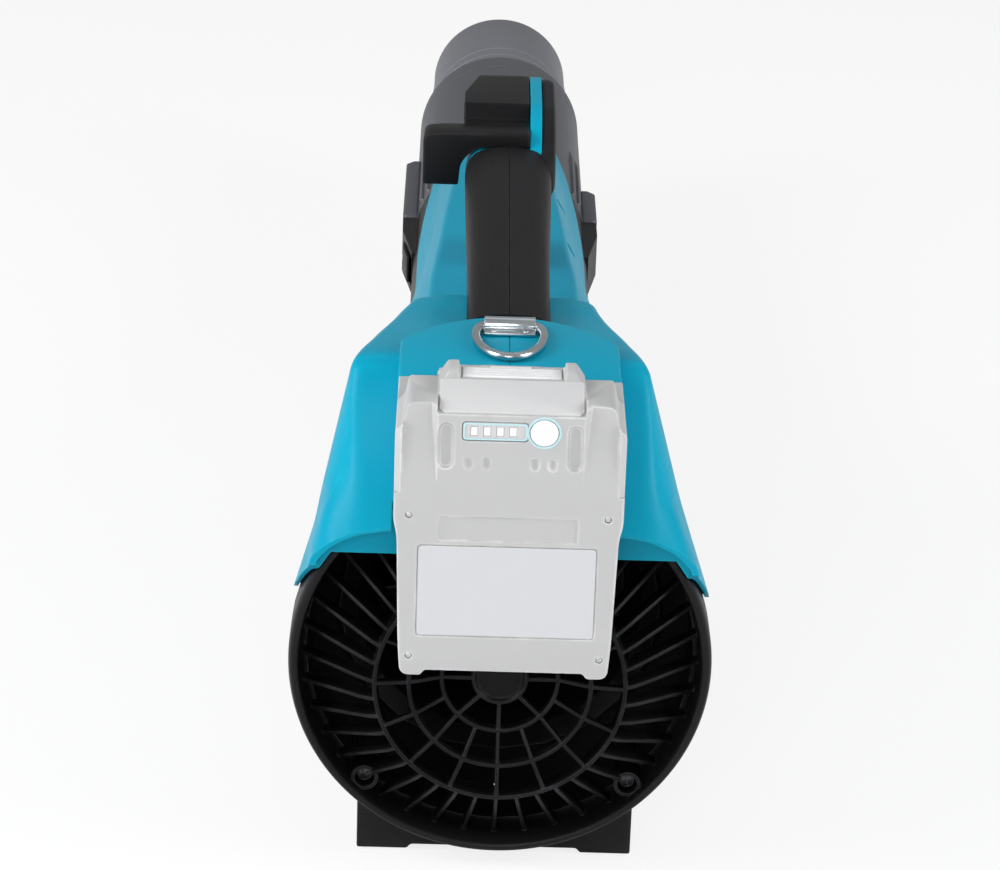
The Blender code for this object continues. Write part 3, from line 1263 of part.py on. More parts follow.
def make_battery_inside(front, top):
    """Ten cells in two columns between the two holder plates."""
    length = CELL_LENGTH / 2
    rows = 5
    pitch = 2 * CELL_RADIUS + 0.0009
    low = BATTERY_BOTTOM + BATTERY_WALL + GAP + CELL_RADIUS
    middle = (BATTERY_REAR + BATTERY_WALL + front) / 2
    cells = []
    for column in (-1, 1):
        for row in range(rows):
            y = middle + column * (CELL_RADIUS + 0.0005)
            z = low + row * pitch
            cells.append(rod("cell", (-length, y, z), (length, y, z), CELL_RADIUS, 10))
    pack = merged("battery_cells", cells)
    reach = CELL_RADIUS * 1.6
    tabs = []
    for side, spans in ((-1, ((0, 1), (2, 3), (4, 4))), (1, ((0, 0), (1, 2), (3, 4)))):
        xs = sorted((side * (length - 0.0003), side * (length + 0.0003)))
        for first, last in spans:
            tabs.append(block("tab", xs, (middle - reach, middle + reach),
                              (low + first * pitch - 0.004, low + last * pitch + 0.004)))
    finish(join(pack, merged("tabs", tabs)), TEAL)
    rear = BATTERY_REAR + BATTERY_WALL + GAP
    bottom = BATTERY_BOTTOM + BATTERY_WALL + GAP
    plates = []
    for side in (-1, 1):
        xs = sorted((side * (length + 0.0003 + GAP), side * (0.0380 - GAP)))
        plates.append(block("plate", xs, (rear, front - GAP), (bottom, top - GAP)))
    holder = merged("battery_holder", plates)
    bars = []
    for ys in ((rear + 0.001, rear + 0.0055), (front - 0.0058, front - 0.0013)):
        for z in (bottom + 0.004, top - 0.014):
            bars.append(block("bar", (-length - 0.002, length + 0.002), ys, (z, z + 0.008)))
    finish(join(holder, merged("bars", bars)), BLACK)


def release_shape(name, growth):
    """Release button with its hook, or with growth the room for it and for its travel."""
    back = RELEASE_TRAVEL if growth else 0.0
    up = 0.05 if growth else 0.0
    low = BATTERY_TOP - 0.0148 - growth
    half = HOOK_HALF_WIDTH + growth
    top = BATTERY_TOP - 0.0118 + up
    leg = (HOOK_REAR - growth - back, HOOK_REAR + 0.003 + growth)
    button = block(name, (-BUTTON_HALF_WIDTH - growth, BUTTON_HALF_WIDTH + growth),
                   (-0.0562 - growth - back, -0.0466 + growth), (low, BATTERY_TOP - 0.0004 + up))
    return join(button, block("tongue", (-half, half), (-0.048, leg[1]), (low, top)),
                block("leg", (-half, half), leg, (HOOK_HEIGHT - growth, top)),
                block("hook", (-half, half), (leg[0] + 0.001, HOOK_FRONT + growth),
                      (HOOK_HEIGHT - growth, HOOK_HEIGHT + 0.0038 + growth)))


def make_battery_buttons():
    button = release_shape("battery_release", 0.0)
    cut(button, block("groove", (-0.015, 0.015), (-0.0530, -0.0500), (BATTERY_TOP - 0.0012, BATTERY_TOP + 0.01)))
    finish(button, PALE, (0.0, -0.0460, BATTERY_TOP))
    face = BATTERY_REAR
    finish(extruded("battery_gauge", gauge_outline(), "y", face, face + 0.0009), SMOKE)
    place = (GAUGE_BUTTON_X, GAUGE_HEIGHT)
    check = rod("gauge_button", (place[0], face - 0.0006, place[1]), (place[0], face + 0.0012, place[1]),
                GAUGE_BUTTON_RADIUS, 24)
    finish(check, PALE, (place[0], face, place[1]))


# ---------------------------------------------------------------- hanging ring

def make_hanging_ring():
    """Steel D ring that lies on the hood under a bent strap."""
    z = HOOD_TOP + GAP + RING_WIRE
    bar = RING_BAR_Y
    half = RING_HALF_WIDTH
    bend = 0.0026
    tail = bar - RING_REACH + half
    points = [(-half + bend, bar), (half - bend, bar)]
    points += [(half - bend + bend * sin(radians(a)), bar - bend + bend * cos(radians(a)))
               for a in (30, 60, 90)]
    points += arc((0.0, tail), half, 0, -180, 12)
    points += [(-half + bend - bend * sin(radians(a)), bar - bend + bend * cos(radians(a)))
               for a in (90, 60, 30)]
    ring = wire("dring", [(x, y, z) for x, y in points], RING_WIRE, cyclic=True, sides=2)
    finish(ring, STEEL, (0.0, bar, z))
    base = HOOD_TOP + GAP
    inner = RING_WIRE + GAP
    top = inner + STRAP_THICKNESS
    length = STRAP_LENGTH / 2
    bow_out = [(bar + top * cos(radians(a)), z + top * sin(radians(a))) for a in range(0, 181, 20)]
    bow_in = [(bar + inner * cos(radians(a)), z + inner * sin(radians(a))) for a in range(180, -1, -20)]
    outline = ([(bar + length, base), (bar + length, base + STRAP_THICKNESS),
                (bar + top, base + STRAP_THICKNESS)] + bow_out
               + [(bar - top, base + STRAP_THICKNESS), (bar - length, base + STRAP_THICKNESS),
                  (bar - length, base), (bar - inner, base)] + bow_in + [(bar + inner, base)])
    strap = extruded("dring_bracket", outline, "x", -STRAP_HALF_WIDTH, STRAP_HALF_WIDTH)
    return finish(strap, STEEL)


def make_housing_screws():
    for number, place in enumerate(housing_screw_places(), 1):
        screw = cross_hole("housing_screw_%d" % number, place, SCREW_SEAT + GAP, SCREW_SEAT + 0.0028,
                           SCREW_HEAD)
        finish(join(screw, cross_hole("shank", place, -0.0100, SCREW_SEAT + 0.001, SCREW_SHANK)), STEEL)


# ---------------------------------------------------------------- assembly

def build():
    for half in make_housing():
        finish(half, TEAL)
    for half in make_grip():
        finish(half, RUBBER)
    for half in make_duct():
        finish(half, BLACK)
    make_intake_cover()
    make_cover_screws()
    make_stand()
    make_motor()
    make_pipe()
    make_tip()
    make_latch()
    make_lever()
    make_trigger()
    make_switch()
    make_dock()
    make_controller()
    make_battery()
    make_hanging_ring()
    make_housing_screws()


build()
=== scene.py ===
import json
import math

import bpy
import bmesh
import numpy as np
from mathutils import Matrix, Vector

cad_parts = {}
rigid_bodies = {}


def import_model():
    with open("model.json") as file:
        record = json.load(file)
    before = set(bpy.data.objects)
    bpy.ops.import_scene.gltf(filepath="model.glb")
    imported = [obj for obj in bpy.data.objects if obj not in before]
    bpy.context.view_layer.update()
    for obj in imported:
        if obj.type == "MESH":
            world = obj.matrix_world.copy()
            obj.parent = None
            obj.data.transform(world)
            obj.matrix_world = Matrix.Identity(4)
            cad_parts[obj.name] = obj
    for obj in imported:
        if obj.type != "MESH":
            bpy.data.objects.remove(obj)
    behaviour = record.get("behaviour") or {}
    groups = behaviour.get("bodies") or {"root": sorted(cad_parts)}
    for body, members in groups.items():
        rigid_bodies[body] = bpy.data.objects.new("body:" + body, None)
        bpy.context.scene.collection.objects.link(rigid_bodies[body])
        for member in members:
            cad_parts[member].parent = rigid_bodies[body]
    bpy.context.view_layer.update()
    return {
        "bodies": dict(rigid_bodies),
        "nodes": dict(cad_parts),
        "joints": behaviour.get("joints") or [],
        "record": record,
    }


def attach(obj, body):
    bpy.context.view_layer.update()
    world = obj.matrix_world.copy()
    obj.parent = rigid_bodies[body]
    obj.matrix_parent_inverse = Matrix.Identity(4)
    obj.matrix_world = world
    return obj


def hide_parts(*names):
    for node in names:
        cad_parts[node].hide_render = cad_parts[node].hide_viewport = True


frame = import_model()
nodes = frame["nodes"]
print("frame loaded", len(nodes), "nodes")

# The fan axis in the row frame: X right, Y towards the nozzle, Z up.
fanOrigin = Vector((0.0, -0.354, 0.092))


def feed(tree, socket, value):
    if isinstance(value, bpy.types.NodeSocket):
        tree.links.new(value, socket)
    else:
        socket.default_value = value


def wire(tree, kind, inputs=None, **settings):
    made = tree.nodes.new("ShaderNode" + kind)
    for key, value in settings.items():
        setattr(made, key, value)
    for key, value in (inputs or {}).items():
        feed(tree, made.inputs[key], value)
    return made


def newGroup(name, inputs, outputs):
    tree = bpy.data.node_groups.new(name, "ShaderNodeTree")
    for label, kind, value in inputs:
        socket = tree.interface.new_socket(label, in_out="INPUT", socket_type="NodeSocket" + kind)
        socket.default_value = value
    for label, kind in outputs:
        tree.interface.new_socket(label, in_out="OUTPUT", socket_type="NodeSocket" + kind)
    return tree, tree.nodes.new("NodeGroupInput").outputs, tree.nodes.new("NodeGroupOutput").inputs


def useGroup(tree, group, inputs=None):
    return wire(tree, "Group", inputs, node_tree=group).outputs


def mixColor(tree, factor, first, second):
    made = wire(tree, "Mix", data_type="RGBA")
    for place, value in ((0, factor), (6, first), (7, second)):
        feed(tree, made.inputs[place], value)
    return made.outputs[2]


# Rounded edges with a fine moulded grain and slow waviness on top.
def moldedNormalGroup():
    tree, given, result = newGroup(
        "moldedNormal",
        [("Edge", "Float", 0.0005), ("Grain", "Float", 900.0), ("Depth", "Float", 0.1), ("Wave", "Float", 0.05)],
        [("Normal", "Vector"), ("Speck", "Float")])
    place = wire(tree, "TexCoord").outputs["Object"]
    soft = wire(tree, "Bevel", {"Radius": given["Edge"]}, samples=4)
    fine = wire(tree, "TexNoise", {"Vector": place, "Scale": given["Grain"], "Detail": 2.0, "Roughness": 0.6})
    wide = wire(tree, "TexNoise", {"Vector": place, "Scale": 26.0, "Detail": 1.0})
    first = wire(tree, "Bump", {"Strength": given["Wave"], "Distance": 0.002,
                                "Height": wide.outputs[0], "Normal": soft.outputs[0]})
    second = wire(tree, "Bump", {"Strength": given["Depth"], "Distance": 0.0002,
                                 "Height": fine.outputs[0], "Normal": first.outputs[0]})
    tree.links.new(second.outputs[0], result["Normal"])
    tree.links.new(fine.outputs[0], result["Speck"])
    return tree


# A mask that is 1 on outer edges that hands and floors rub, broken up by noise; it also places painted highlight
# along the edges.
def edgeWearAndHighlightGroup():
    tree, given, result = newGroup(
        "edgeWearAndHighlight", [("Radius", "Float", 0.0012), ("Breakup", "Float", 60.0)], [("Mask", "Float")])
    place = wire(tree, "TexCoord").outputs["Object"]
    surface = wire(tree, "NewGeometry")
    soft = wire(tree, "Bevel", {"Radius": given["Radius"]}, samples=4)
    lined = wire(tree, "VectorMath", {0: surface.outputs["True Normal"], 1: soft.outputs[0]},
                 operation="DOT_PRODUCT")
    bent = wire(tree, "MapRange", {"Value": lined.outputs["Value"], 1: 0.995, 2: 0.86, 3: 0.0, 4: 1.0})
    broken = wire(tree, "TexNoise", {"Vector": place, "Scale": given["Breakup"], "Detail": 3.0, "Roughness": 0.7})
    cut = wire(tree, "MapRange", {"Value": broken.outputs[0], 1: 0.42, 2: 0.68, 3: 0.25, 4: 1.0})
    mask = wire(tree, "Math", {0: bent.outputs[0], 1: cut.outputs[0]}, operation="MULTIPLY")
    tree.links.new(mask.outputs[0], result["Mask"])
    return tree


# Colour and roughness that drift slowly over the surface, with dust and fine rub marks.
def handlingGroup():
    tree, given, result = newGroup(
        "handling",
        [("Color", "Color", (0.5, 0.5, 0.5, 1)), ("Dust", "Color", (0.5, 0.48, 0.45, 1)),
         ("Amount", "Float", 0.05), ("Gloss", "Float", 0.4), ("Rub", "Float", 0.06)],
        [("Color", "Color"), ("Roughness", "Float")])
    place = wire(tree, "TexCoord").outputs["Object"]
    wide = wire(tree, "TexNoise", {"Vector": place, "Scale": 9.0, "Detail": 4.0, "Roughness": 0.6})
    drift = wire(tree, "MapRange", {"Value": wide.outputs[0], 1: 0.35, 2: 0.7, 3: 0.0, 4: 1.0})
    long = wire(tree, "Mapping", {"Vector": place, "Scale": (260.0, 26.0, 200.0), "Rotation": (0.2, 0.1, 0.5)})
    marks = wire(tree, "TexNoise", {"Vector": long.outputs[0], "Scale": 1.0, "Detail": 3.0, "Roughness": 0.75})
    lines = wire(tree, "MapRange", {"Value": marks.outputs[0], 1: 0.56, 2: 0.74, 3: 0.0, 4: 1.0})
    share = wire(tree, "Math", {0: drift.outputs[0], 1: given["Amount"]}, operation="MULTIPLY")
    tinted = mixColor(tree, share.outputs[0], given["Color"], given["Dust"])
    rubbed = wire(tree, "Math", {0: lines.outputs[0], 1: given["Rub"]}, operation="MULTIPLY")
    slow = wire(tree, "Math", {0: drift.outputs[0], 1: given["Rub"], 2: given["Gloss"]}, operation="MULTIPLY_ADD")
    rough = wire(tree, "Math", {0: slow.outputs[0], 1: rubbed.outputs[0]}, operation="ADD")
    tree.links.new(tinted, result["Color"])
    tree.links.new(rough.outputs[0], result["Roughness"])
    return tree


# Fine drawn lines of machined or rolled metal, along one axis.
def brushedGroup():
    tree, given, result = newGroup(
        "brushed",
        [("Stretch", "Vector", (900.0, 40.0, 900.0)), ("Depth", "Float", 0.15), ("Edge", "Float", 0.0003)],
        [("Normal", "Vector"), ("Line", "Float")])
    place = wire(tree, "TexCoord").outputs["Object"]
    long = wire(tree, "VectorMath", {0: place, 1: given["Stretch"]}, operation="MULTIPLY")
    lines = wire(tree, "TexNoise", {"Vector": long.outputs[0], "Scale": 1.0, "Detail": 3.0, "Roughness": 0.6})
    soft = wire(tree, "Bevel", {"Radius": given["Edge"]}, samples=4)
    bump = wire(tree, "Bump", {"Strength": given["Depth"], "Distance": 0.0001,
                               "Height": lines.outputs[0], "Normal": soft.outputs[0]})
    tree.links.new(bump.outputs[0], result["Normal"])
    tree.links.new(lines.outputs[0], result["Line"])
    return tree


groups = {"normal": moldedNormalGroup(), "wearAndHighlight": edgeWearAndHighlightGroup(), "handling": handlingGroup(),
          "brushed": brushedGroup()}


def newMaterial(name, tint, metallic=0.0, **constants):
    made = bpy.data.materials.new(name)
    made.use_nodes = True
    made.diffuse_color = (*tint, 1)
    tree = made.node_tree
    surface = tree.nodes["Principled BSDF"]
    surface.inputs["Metallic"].default_value = metallic
    for key, value in constants.items():
        surface.inputs[key.replace("_", " ")].default_value = value
    return made, tree, surface


def plastic(name, color, wornAndHighlight, gloss=0.4, dust=0.05, edge=0.0005, grain=1100.0, depth=0.12, wave=0.05,
            wearAndHighlight=0.35, rub=0.06, **constants):
    made, tree, surface = newMaterial(name, color, **constants)
    form = useGroup(tree, groups["normal"], {"Edge": edge, "Grain": grain, "Depth": depth, "Wave": wave})
    mask = useGroup(tree, groups["wearAndHighlight"])["Mask"]
    handled = useGroup(tree, groups["handling"], {"Color": (*color, 1), "Amount": dust, "Gloss": gloss, "Rub": rub})
    # Edges take the lighter worn colour: partly rub wear, partly painted highlight along the edges.
    share = wire(tree, "Math", {0: mask, 1: wearAndHighlight}, operation="MULTIPLY")
    tree.links.new(mixColor(tree, share.outputs[0], handled["Color"], (*wornAndHighlight, 1)), surface.inputs["Base Color"])
    tree.links.new(handled["Roughness"], surface.inputs["Roughness"])
    tree.links.new(form["Normal"], surface.inputs["Normal"])
    return made


def metal(name, color, dark, gloss=0.3, stretch=(900.0, 40.0, 900.0), depth=0.15, edge=0.0003, **constants):
    made, tree, surface = newMaterial(name, color, metallic=1.0, **constants)
    drawn = useGroup(tree, groups["brushed"], {"Stretch": stretch, "Depth": depth, "Edge": edge})
    handled = useGroup(tree, groups["handling"], {"Color": (*color, 1), "Dust": (*dark, 1), "Amount": 0.5,
                                                  "Gloss": gloss, "Rub": 0.08})
    share = wire(tree, "MapRange", {"Value": drawn["Line"], 1: 0.5, 2: 0.8, 3: 0.0, 4: 0.35})
    tree.links.new(mixColor(tree, share.outputs[0], handled["Color"], (*dark, 1)), surface.inputs["Base Color"])
    tree.links.new(handled["Roughness"], surface.inputs["Roughness"])
    tree.links.new(drawn["Normal"], surface.inputs["Normal"])
    return made


materials = {
    "shell": plastic("tealSatin", (0.0, 0.282, 0.420), (0.02, 0.58, 0.70), gloss=0.34, dust=0.006, edge=0.0009,
                     grain=1500.0, depth=0.05, wearAndHighlight=0.55, Specular_IOR_Level=0.09),
    "elastomer": plastic("gripElastomer", (0.0085, 0.0082, 0.0092), (0.05, 0.05, 0.055), gloss=0.46, dust=0.012,
                         edge=0.0006, grain=2600.0, depth=0.30, rub=0.10, Specular_IOR_Level=0.15),
    "blackPlastic": plastic("blackNylon", (0.0050, 0.0050, 0.0058), (0.09, 0.09, 0.096), gloss=0.34, dust=0.008,
                            edge=0.0005, grain=1600.0, depth=0.10, wearAndHighlight=0.55, Specular_IOR_Level=0.13),
    # Darker copy of the black nylon: painted shade for the intake grille and the parts inside the duct.
    "shadedBlack": plastic("grilleNylonPaintedShade", (0.0018, 0.0018, 0.0021), (0.075, 0.078, 0.085), gloss=0.34, dust=0.004,
                         edge=0.0005, grain=1600.0, depth=0.10, wearAndHighlight=0.60, Specular_IOR_Level=0.10),
    "pipePlastic": plastic("pipePolypropylene", (0.066, 0.068, 0.079), (0.24, 0.24, 0.25), gloss=0.42, dust=0.03,
                           edge=0.0005, grain=1300.0, depth=0.12, wave=0.03),
    # Lighter copy of the pipe plastic for the tip: painted light on the tip, with the pipe standing in shade.
    "litTipPlastic": plastic("tipPolypropyleneLit", (0.145, 0.147, 0.168), (0.30, 0.30, 0.32), gloss=0.40, dust=0.03,
                          edge=0.0005, grain=1300.0, depth=0.12, wave=0.03),
    # Lighter copy of the battery plastic for the release button on top: painted light falling on the top.
    "paleLitTop": plastic("batteryTopPaintedLight", (0.74, 0.75, 0.76), (0.92, 0.92, 0.92), gloss=0.30, dust=0.02,
                       edge=0.0006, grain=1400.0, depth=0.05, wearAndHighlight=0.8),
    # Its edges take the near-white colour strongly: mostly painted highlight, standing for reflections along the
    # edges.
    "paleShell": plastic("batteryShell", (0.415, 0.415, 0.418), (0.90, 0.90, 0.90), gloss=0.34, dust=0.03,
                         edge=0.0008, grain=1400.0, depth=0.06, wearAndHighlight=0.9),
    "paleDark": plastic("batteryPanel", (0.50, 0.50, 0.505), (0.75, 0.75, 0.75), gloss=0.42, dust=0.04,
                        edge=0.0005, grain=1400.0, depth=0.08, wearAndHighlight=0.5),
    "barePlate": plastic("barePlate", (0.50, 0.51, 0.525), (0.68, 0.69, 0.70), gloss=0.30, dust=0.03,
                         edge=0.0003, grain=900.0, depth=0.03, wearAndHighlight=0.3),
    "gaugeRim": plastic("gaugeRim", (0.42, 0.62, 0.66), (0.6, 0.75, 0.78), gloss=0.30, dust=0.03, edge=0.0002),
    "gaugeLamp": plastic("gaugeLamp", (0.74, 0.74, 0.75), (0.85, 0.85, 0.85), gloss=0.15, dust=0.02, edge=0.0002),
    "gaugeKey": plastic("gaugeKey", (0.80, 0.82, 0.83), (0.42, 0.62, 0.66), gloss=0.28, dust=0.02, edge=0.0006),
    "screwPale": metal("ghostedScrew", (0.72, 0.72, 0.73), (0.55, 0.55, 0.56), gloss=0.45),
    "gauge": plastic("gaugeWindow", (0.56, 0.60, 0.61), (0.7, 0.75, 0.76), gloss=0.12, dust=0.03,
                     edge=0.0003, grain=600.0, depth=0.02),
    "screwSteel": metal("screwSteel", (0.075, 0.075, 0.08), (0.02, 0.02, 0.02), gloss=0.32),
    "bearingSteel": metal("bearingSteel", (0.55, 0.55, 0.56), (0.25, 0.25, 0.26), gloss=0.22),
    "laminated": metal("laminatedSteel", (0.28, 0.28, 0.30), (0.06, 0.06, 0.06), gloss=0.42,
                       stretch=(8.0, 2200.0, 8.0), depth=0.6),
    "plated": metal("zincPlate", (0.62, 0.66, 0.68), (0.30, 0.33, 0.35), gloss=0.20,
                    stretch=(40.0, 700.0, 700.0), depth=0.08),
    "copper": metal("enamelCopper", (0.52, 0.20, 0.07), (0.16, 0.05, 0.02), gloss=0.28,
                    stretch=(1500.0, 60.0, 1500.0), depth=0.5),
    "brass": metal("terminalBrass", (0.68, 0.50, 0.20), (0.35, 0.22, 0.08), gloss=0.25),
    "heatSink": metal("castAluminium", (0.45, 0.46, 0.47), (0.2, 0.2, 0.21), gloss=0.45, depth=0.25),
    "cellWrap": plastic("cellWrap", (0.10, 0.22, 0.34), (0.3, 0.4, 0.5), gloss=0.25, grain=500.0, depth=0.03),
    "rubber": plastic("cableRubber", (0.018, 0.018, 0.018), (0.05, 0.05, 0.05), gloss=0.55, grain=2200.0),
}

dressed = {
    "shell": ["housing_left", "housing_right"],
    "elastomer": ["grip_left", "grip_right"],
    "pipePlastic": ["nozzle_pipe", "nozzle_tip"],
    # Parts inside the duct take the darker black as painted shade.
    "shadedBlack": ["fan", "spinner", "fan_shroud", "tail_cone"],
    "paleShell": ["battery_case_rear", "battery_case_front", "battery_release", "gauge_button"],
    "gauge": ["battery_gauge"],
    "screwSteel": ["latch_pin", "lever_pin", "trigger_pin", "trigger_spring"]
                  + ["%s_screw_%d" % (place, number) for place in ("cover", "housing") for number in (1, 2, 3, 4)],
    "bearingSteel": ["bearing_rear", "bearing_front", "motor_shaft"],
    "laminated": ["stator", "rotor"],
    "plated": ["dring", "dring_bracket"],
    "copper": ["stator_coils"],
    "brass": ["terminal_left", "terminal_middle", "terminal_right"],
    "heatSink": ["controller"],
    "cellWrap": ["battery_cells"],
    "rubber": ["switch_lead"],
}

chosen = {name: key for key, names in dressed.items() for name in names}
for name, node in nodes.items():
    slots = node.data.materials
    if not slots:
        slots.append(None)
    for index in range(len(slots)):
        slots[index] = materials[chosen.get(name, "blackPlastic")]
print("frame dressed")


# Solids are made about the fan axis and moved to the row frame when they are done.
gap = 0.0003  # clearance between pieces that meet
seam = 0.00012  # how far each half stays from the middle plane


def newObject(name, mesh):
    made = bpy.data.objects.new(name, mesh)
    bpy.context.scene.collection.objects.link(made)
    return made


def fromBmesh(name, work):
    bmesh.ops.recalc_face_normals(work, faces=work.faces)
    mesh = bpy.data.meshes.new(name)
    work.to_mesh(mesh)
    work.free()
    return newObject(name, mesh)


# The thing's mesh with its modifiers applied.
def evaluated(thing):
    bpy.context.view_layer.update()
    graph = bpy.context.evaluated_depsgraph_get()
    mesh = bpy.data.meshes.new_from_object(thing.evaluated_get(graph))
    thing.modifiers.clear()
    thing.data = mesh
    return thing


def combine(base, tools, operation):
    for tool in tools:
        step = base.modifiers.new("boolean", "BOOLEAN")
        step.operation = operation
        step.solver = "MANIFOLD"
        step.object = tool
        evaluated(base)
        bpy.data.objects.remove(tool)
    return base


def join(base, *tools):
    return combine(base, tools, "UNION")


def cut(base, *tools):
    return combine(base, tools, "DIFFERENCE")


def common(base, *tools):
    return combine(base, tools, "INTERSECT")


def onCircle(radius, angle):
    return radius * math.cos(angle), radius * math.sin(angle)


# A closed skin over rings of points that all have the same count.
def skin(name, rings, closed=False):
    work = bmesh.new()
    rows = [[work.verts.new(point) for point in ring] for ring in rings]
    count = len(rows[0])
    pairs = list(zip(rows, rows[1:])) + ([(rows[-1], rows[0])] if closed else [])
    for near, far in pairs:
        for i in range(count):
            j = (i + 1) % count
            work.faces.new((near[i], near[j], far[j], far[i]))
    if not closed:
        work.faces.new(rows[0][::-1])
        work.faces.new(rows[-1])
    return fromBmesh(name, work)


# A ring-shaped solid: a closed outline of (y, radius) points turned about the fan axis.
def turned(name, profile, steps=144, turn=0.0):
    rings = []
    for step in range(steps):
        angle = 2 * math.pi * step / steps + turn
        rings.append([(radius * math.cos(angle), y, radius * math.sin(angle)) for y, radius in profile])
    return skin(name, rings, closed=True)


# A solid of revolution about the fan axis: its outline's ends stand on the axis.
def lathe(name, profile, steps=48):
    middle = profile[1:-1]
    rings = [[(radius * math.cos(2 * math.pi * k / steps), y, radius * math.sin(2 * math.pi * k / steps))
              for k in range(steps)] for y, radius in middle]
    work = bmesh.new()
    rows = [[work.verts.new(point) for point in ring] for ring in rings]
    tips = [work.verts.new((0, profile[0][0], 0)), work.verts.new((0, profile[-1][0], 0))]
    for near, far in zip(rows, rows[1:]):
        for i in range(steps):
            j = (i + 1) % steps
            work.faces.new((near[i], near[j], far[j], far[i]))
    for row, tip in ((rows[0], tips[0]), (rows[-1], tips[1])):
        for i in range(steps):
            work.faces.new((row[i], row[(i + 1) % steps], tip))
    return fromBmesh(name, work)


def block(name, xs, ys, zs, bevel=0.0, segments=3):
    work = bmesh.new()
    bmesh.ops.create_cube(work, size=1.0)
    for vert in work.verts:
        vert.co = [low + (value + 0.5) * (high - low) for value, (low, high) in zip(vert.co, (xs, ys, zs))]
    if bevel:
        bmesh.ops.bevel(work, geom=work.edges, offset=bevel, segments=segments, profile=0.5, affect="EDGES")
    return fromBmesh(name, work)


def ringAround(place, across, other, radius, sides):
    angles = [2 * math.pi * k / sides for k in range(sides)]
    return [place + radius * (math.cos(angle) * across + math.sin(angle) * other) for angle in angles]


def rod(name, start, end, radius, sides=32, farRadius=None):
    start, end = Vector(start), Vector(end)
    along = (end - start).normalized()
    across = along.orthogonal().normalized()
    other = along.cross(across)
    far = radius if farRadius is None else farRadius
    return skin(name, [ringAround(start, across, other, radius, sides), ringAround(end, across, other, far, sides)])


# A flat outline made solid: its points are (y, z) along x, (x, z) along y and (x, y) along z.
def extruded(name, outline, axis, low, high, bevel=0.0, segments=2):
    order = {"x": (2, 0, 1), "y": (0, 2, 1), "z": (0, 1, 2)}[axis]
    made = skin(name, [[[(u, v, level)[k] for k in order] for u, v in outline] for level in (low, high)])
    if bevel:
        soften(made, bevel, segments)
    return made


# Rounded edges wherever two faces meet at more than the angle.
def soften(thing, width, segments=2, angle=38):
    step = thing.modifiers.new("bevel", "BEVEL")
    step.width = width
    step.segments = segments
    step.limit_method = "ANGLE"
    step.angle_limit = math.radians(angle)
    step.miter_outer = "MITER_ARC"
    return evaluated(thing)


# Round the corners of a closed outline, each to its own radius.
def fillet(outline, radii, steps=6):
    result = []
    count = len(outline)
    if isinstance(radii, float):
        radii = [radii] * count
    for i, (corner, radius) in enumerate(zip(outline, radii)):
        here = Vector(corner)
        if not radius:
            result.append(here)
            continue
        before = Vector(outline[i - 1]) - here
        after = Vector(outline[(i + 1) % count]) - here
        reach = min(radius, 0.46 * before.length, 0.46 * after.length)
        first = here + before.normalized() * reach
        last = here + after.normalized() * reach
        for step in range(steps + 1):
            t = step / steps
            result.append(first * (1 - t) ** 2 + here * 2 * t * (1 - t) + last * t ** 2)
    return result


# Move a closed outline outwards by a distance, or inwards if it is negative.
def grown(outline, distance):
    points = [Vector(point) for point in outline]
    count = len(points)
    turning = sum(points[i - 1].cross(points[i]) for i in range(count))
    side = 1.0 if turning > 0 else -1.0
    result = []
    for i in range(count):
        back = points[i] - points[i - 1]
        ahead = points[(i + 1) % count] - points[i]
        normal = Vector((0.0, 0.0))
        if back.length > 1e-9 and ahead.length > 1e-9:
            normal = Vector((back.y, -back.x)).normalized() + Vector((ahead.y, -ahead.x)).normalized()
            normal = normal / max(normal.length_squared / 2, 0.4)
        result.append(points[i] + normal * distance * side)
    return result


# Smooth monotone interpolation through sorted (position, height) knots.
def through(knots, value):
    if value <= knots[0][0]:
        return knots[0][1]
    if value >= knots[-1][0]:
        return knots[-1][1]
    slopes = [(b[1] - a[1]) / (b[0] - a[0]) for a, b in zip(knots, knots[1:])]
    tangents = [slopes[0]]
    for left, right in zip(slopes, slopes[1:]):
        tangents.append(0.0 if left * right <= 0 else 2 * left * right / (left + right))
    tangents.append(slopes[-1])
    i = next(k for k in range(len(knots) - 1) if value <= knots[k + 1][0])
    a, b = knots[i], knots[i + 1]
    width = b[0] - a[0]
    t = (value - a[0]) / width
    return ((2 * t ** 3 - 3 * t ** 2 + 1) * a[1] + (t ** 3 - 2 * t ** 2 + t) * width * tangents[i]
            + (3 * t ** 2 - 2 * t ** 3) * b[1] + (t ** 3 - t ** 2) * width * tangents[i + 1])


# A round wire through the points.
def tube(name, points, radius, closed=False, sides=20):
    places = [Vector(point) for point in points]
    count = len(places)
    rings = []
    across = None
    for i, place in enumerate(places):
        before = places[(i - 1) % count] if closed or i else place
        after = places[(i + 1) % count] if closed or i < count - 1 else place
        along = (after - before).normalized()
        across = along.orthogonal() if across is None else across - along * across.dot(along)
        across.normalize()
        rings.append(ringAround(place, across, along.cross(across), radius, sides))
    return skin(name, rings, closed)


# Solids that don't touch each other as one mesh.
def merged(name, solids):
    work = bmesh.new()
    for solid in solids:
        work.from_mesh(solid.data)
        bpy.data.objects.remove(solid)
    return fromBmesh(name, work)


# A finished piece: smooth shading, material, place, body and the CAD nodes that it stands for.
def fitted(name, solid, body, material, covered=(), smooth=35):
    solid.name = solid.data.name = name
    solid.data.materials.clear()
    solid.data.materials.append(materials[material])
    solid.data.transform(Matrix.Translation(fanOrigin))
    solid.data.shade_smooth()
    solid.data.set_sharp_from_angle(angle=math.radians(smooth))
    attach(solid, body)
    if covered:
        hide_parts(*covered)
    return solid


studio = {"floorSize": 14.0, "eye": (-0.0213, -1.6536, 0.7482), "yaw": 0.80, "pitch": 23.09, "roll": 1.94,
          "lens": 129.6}


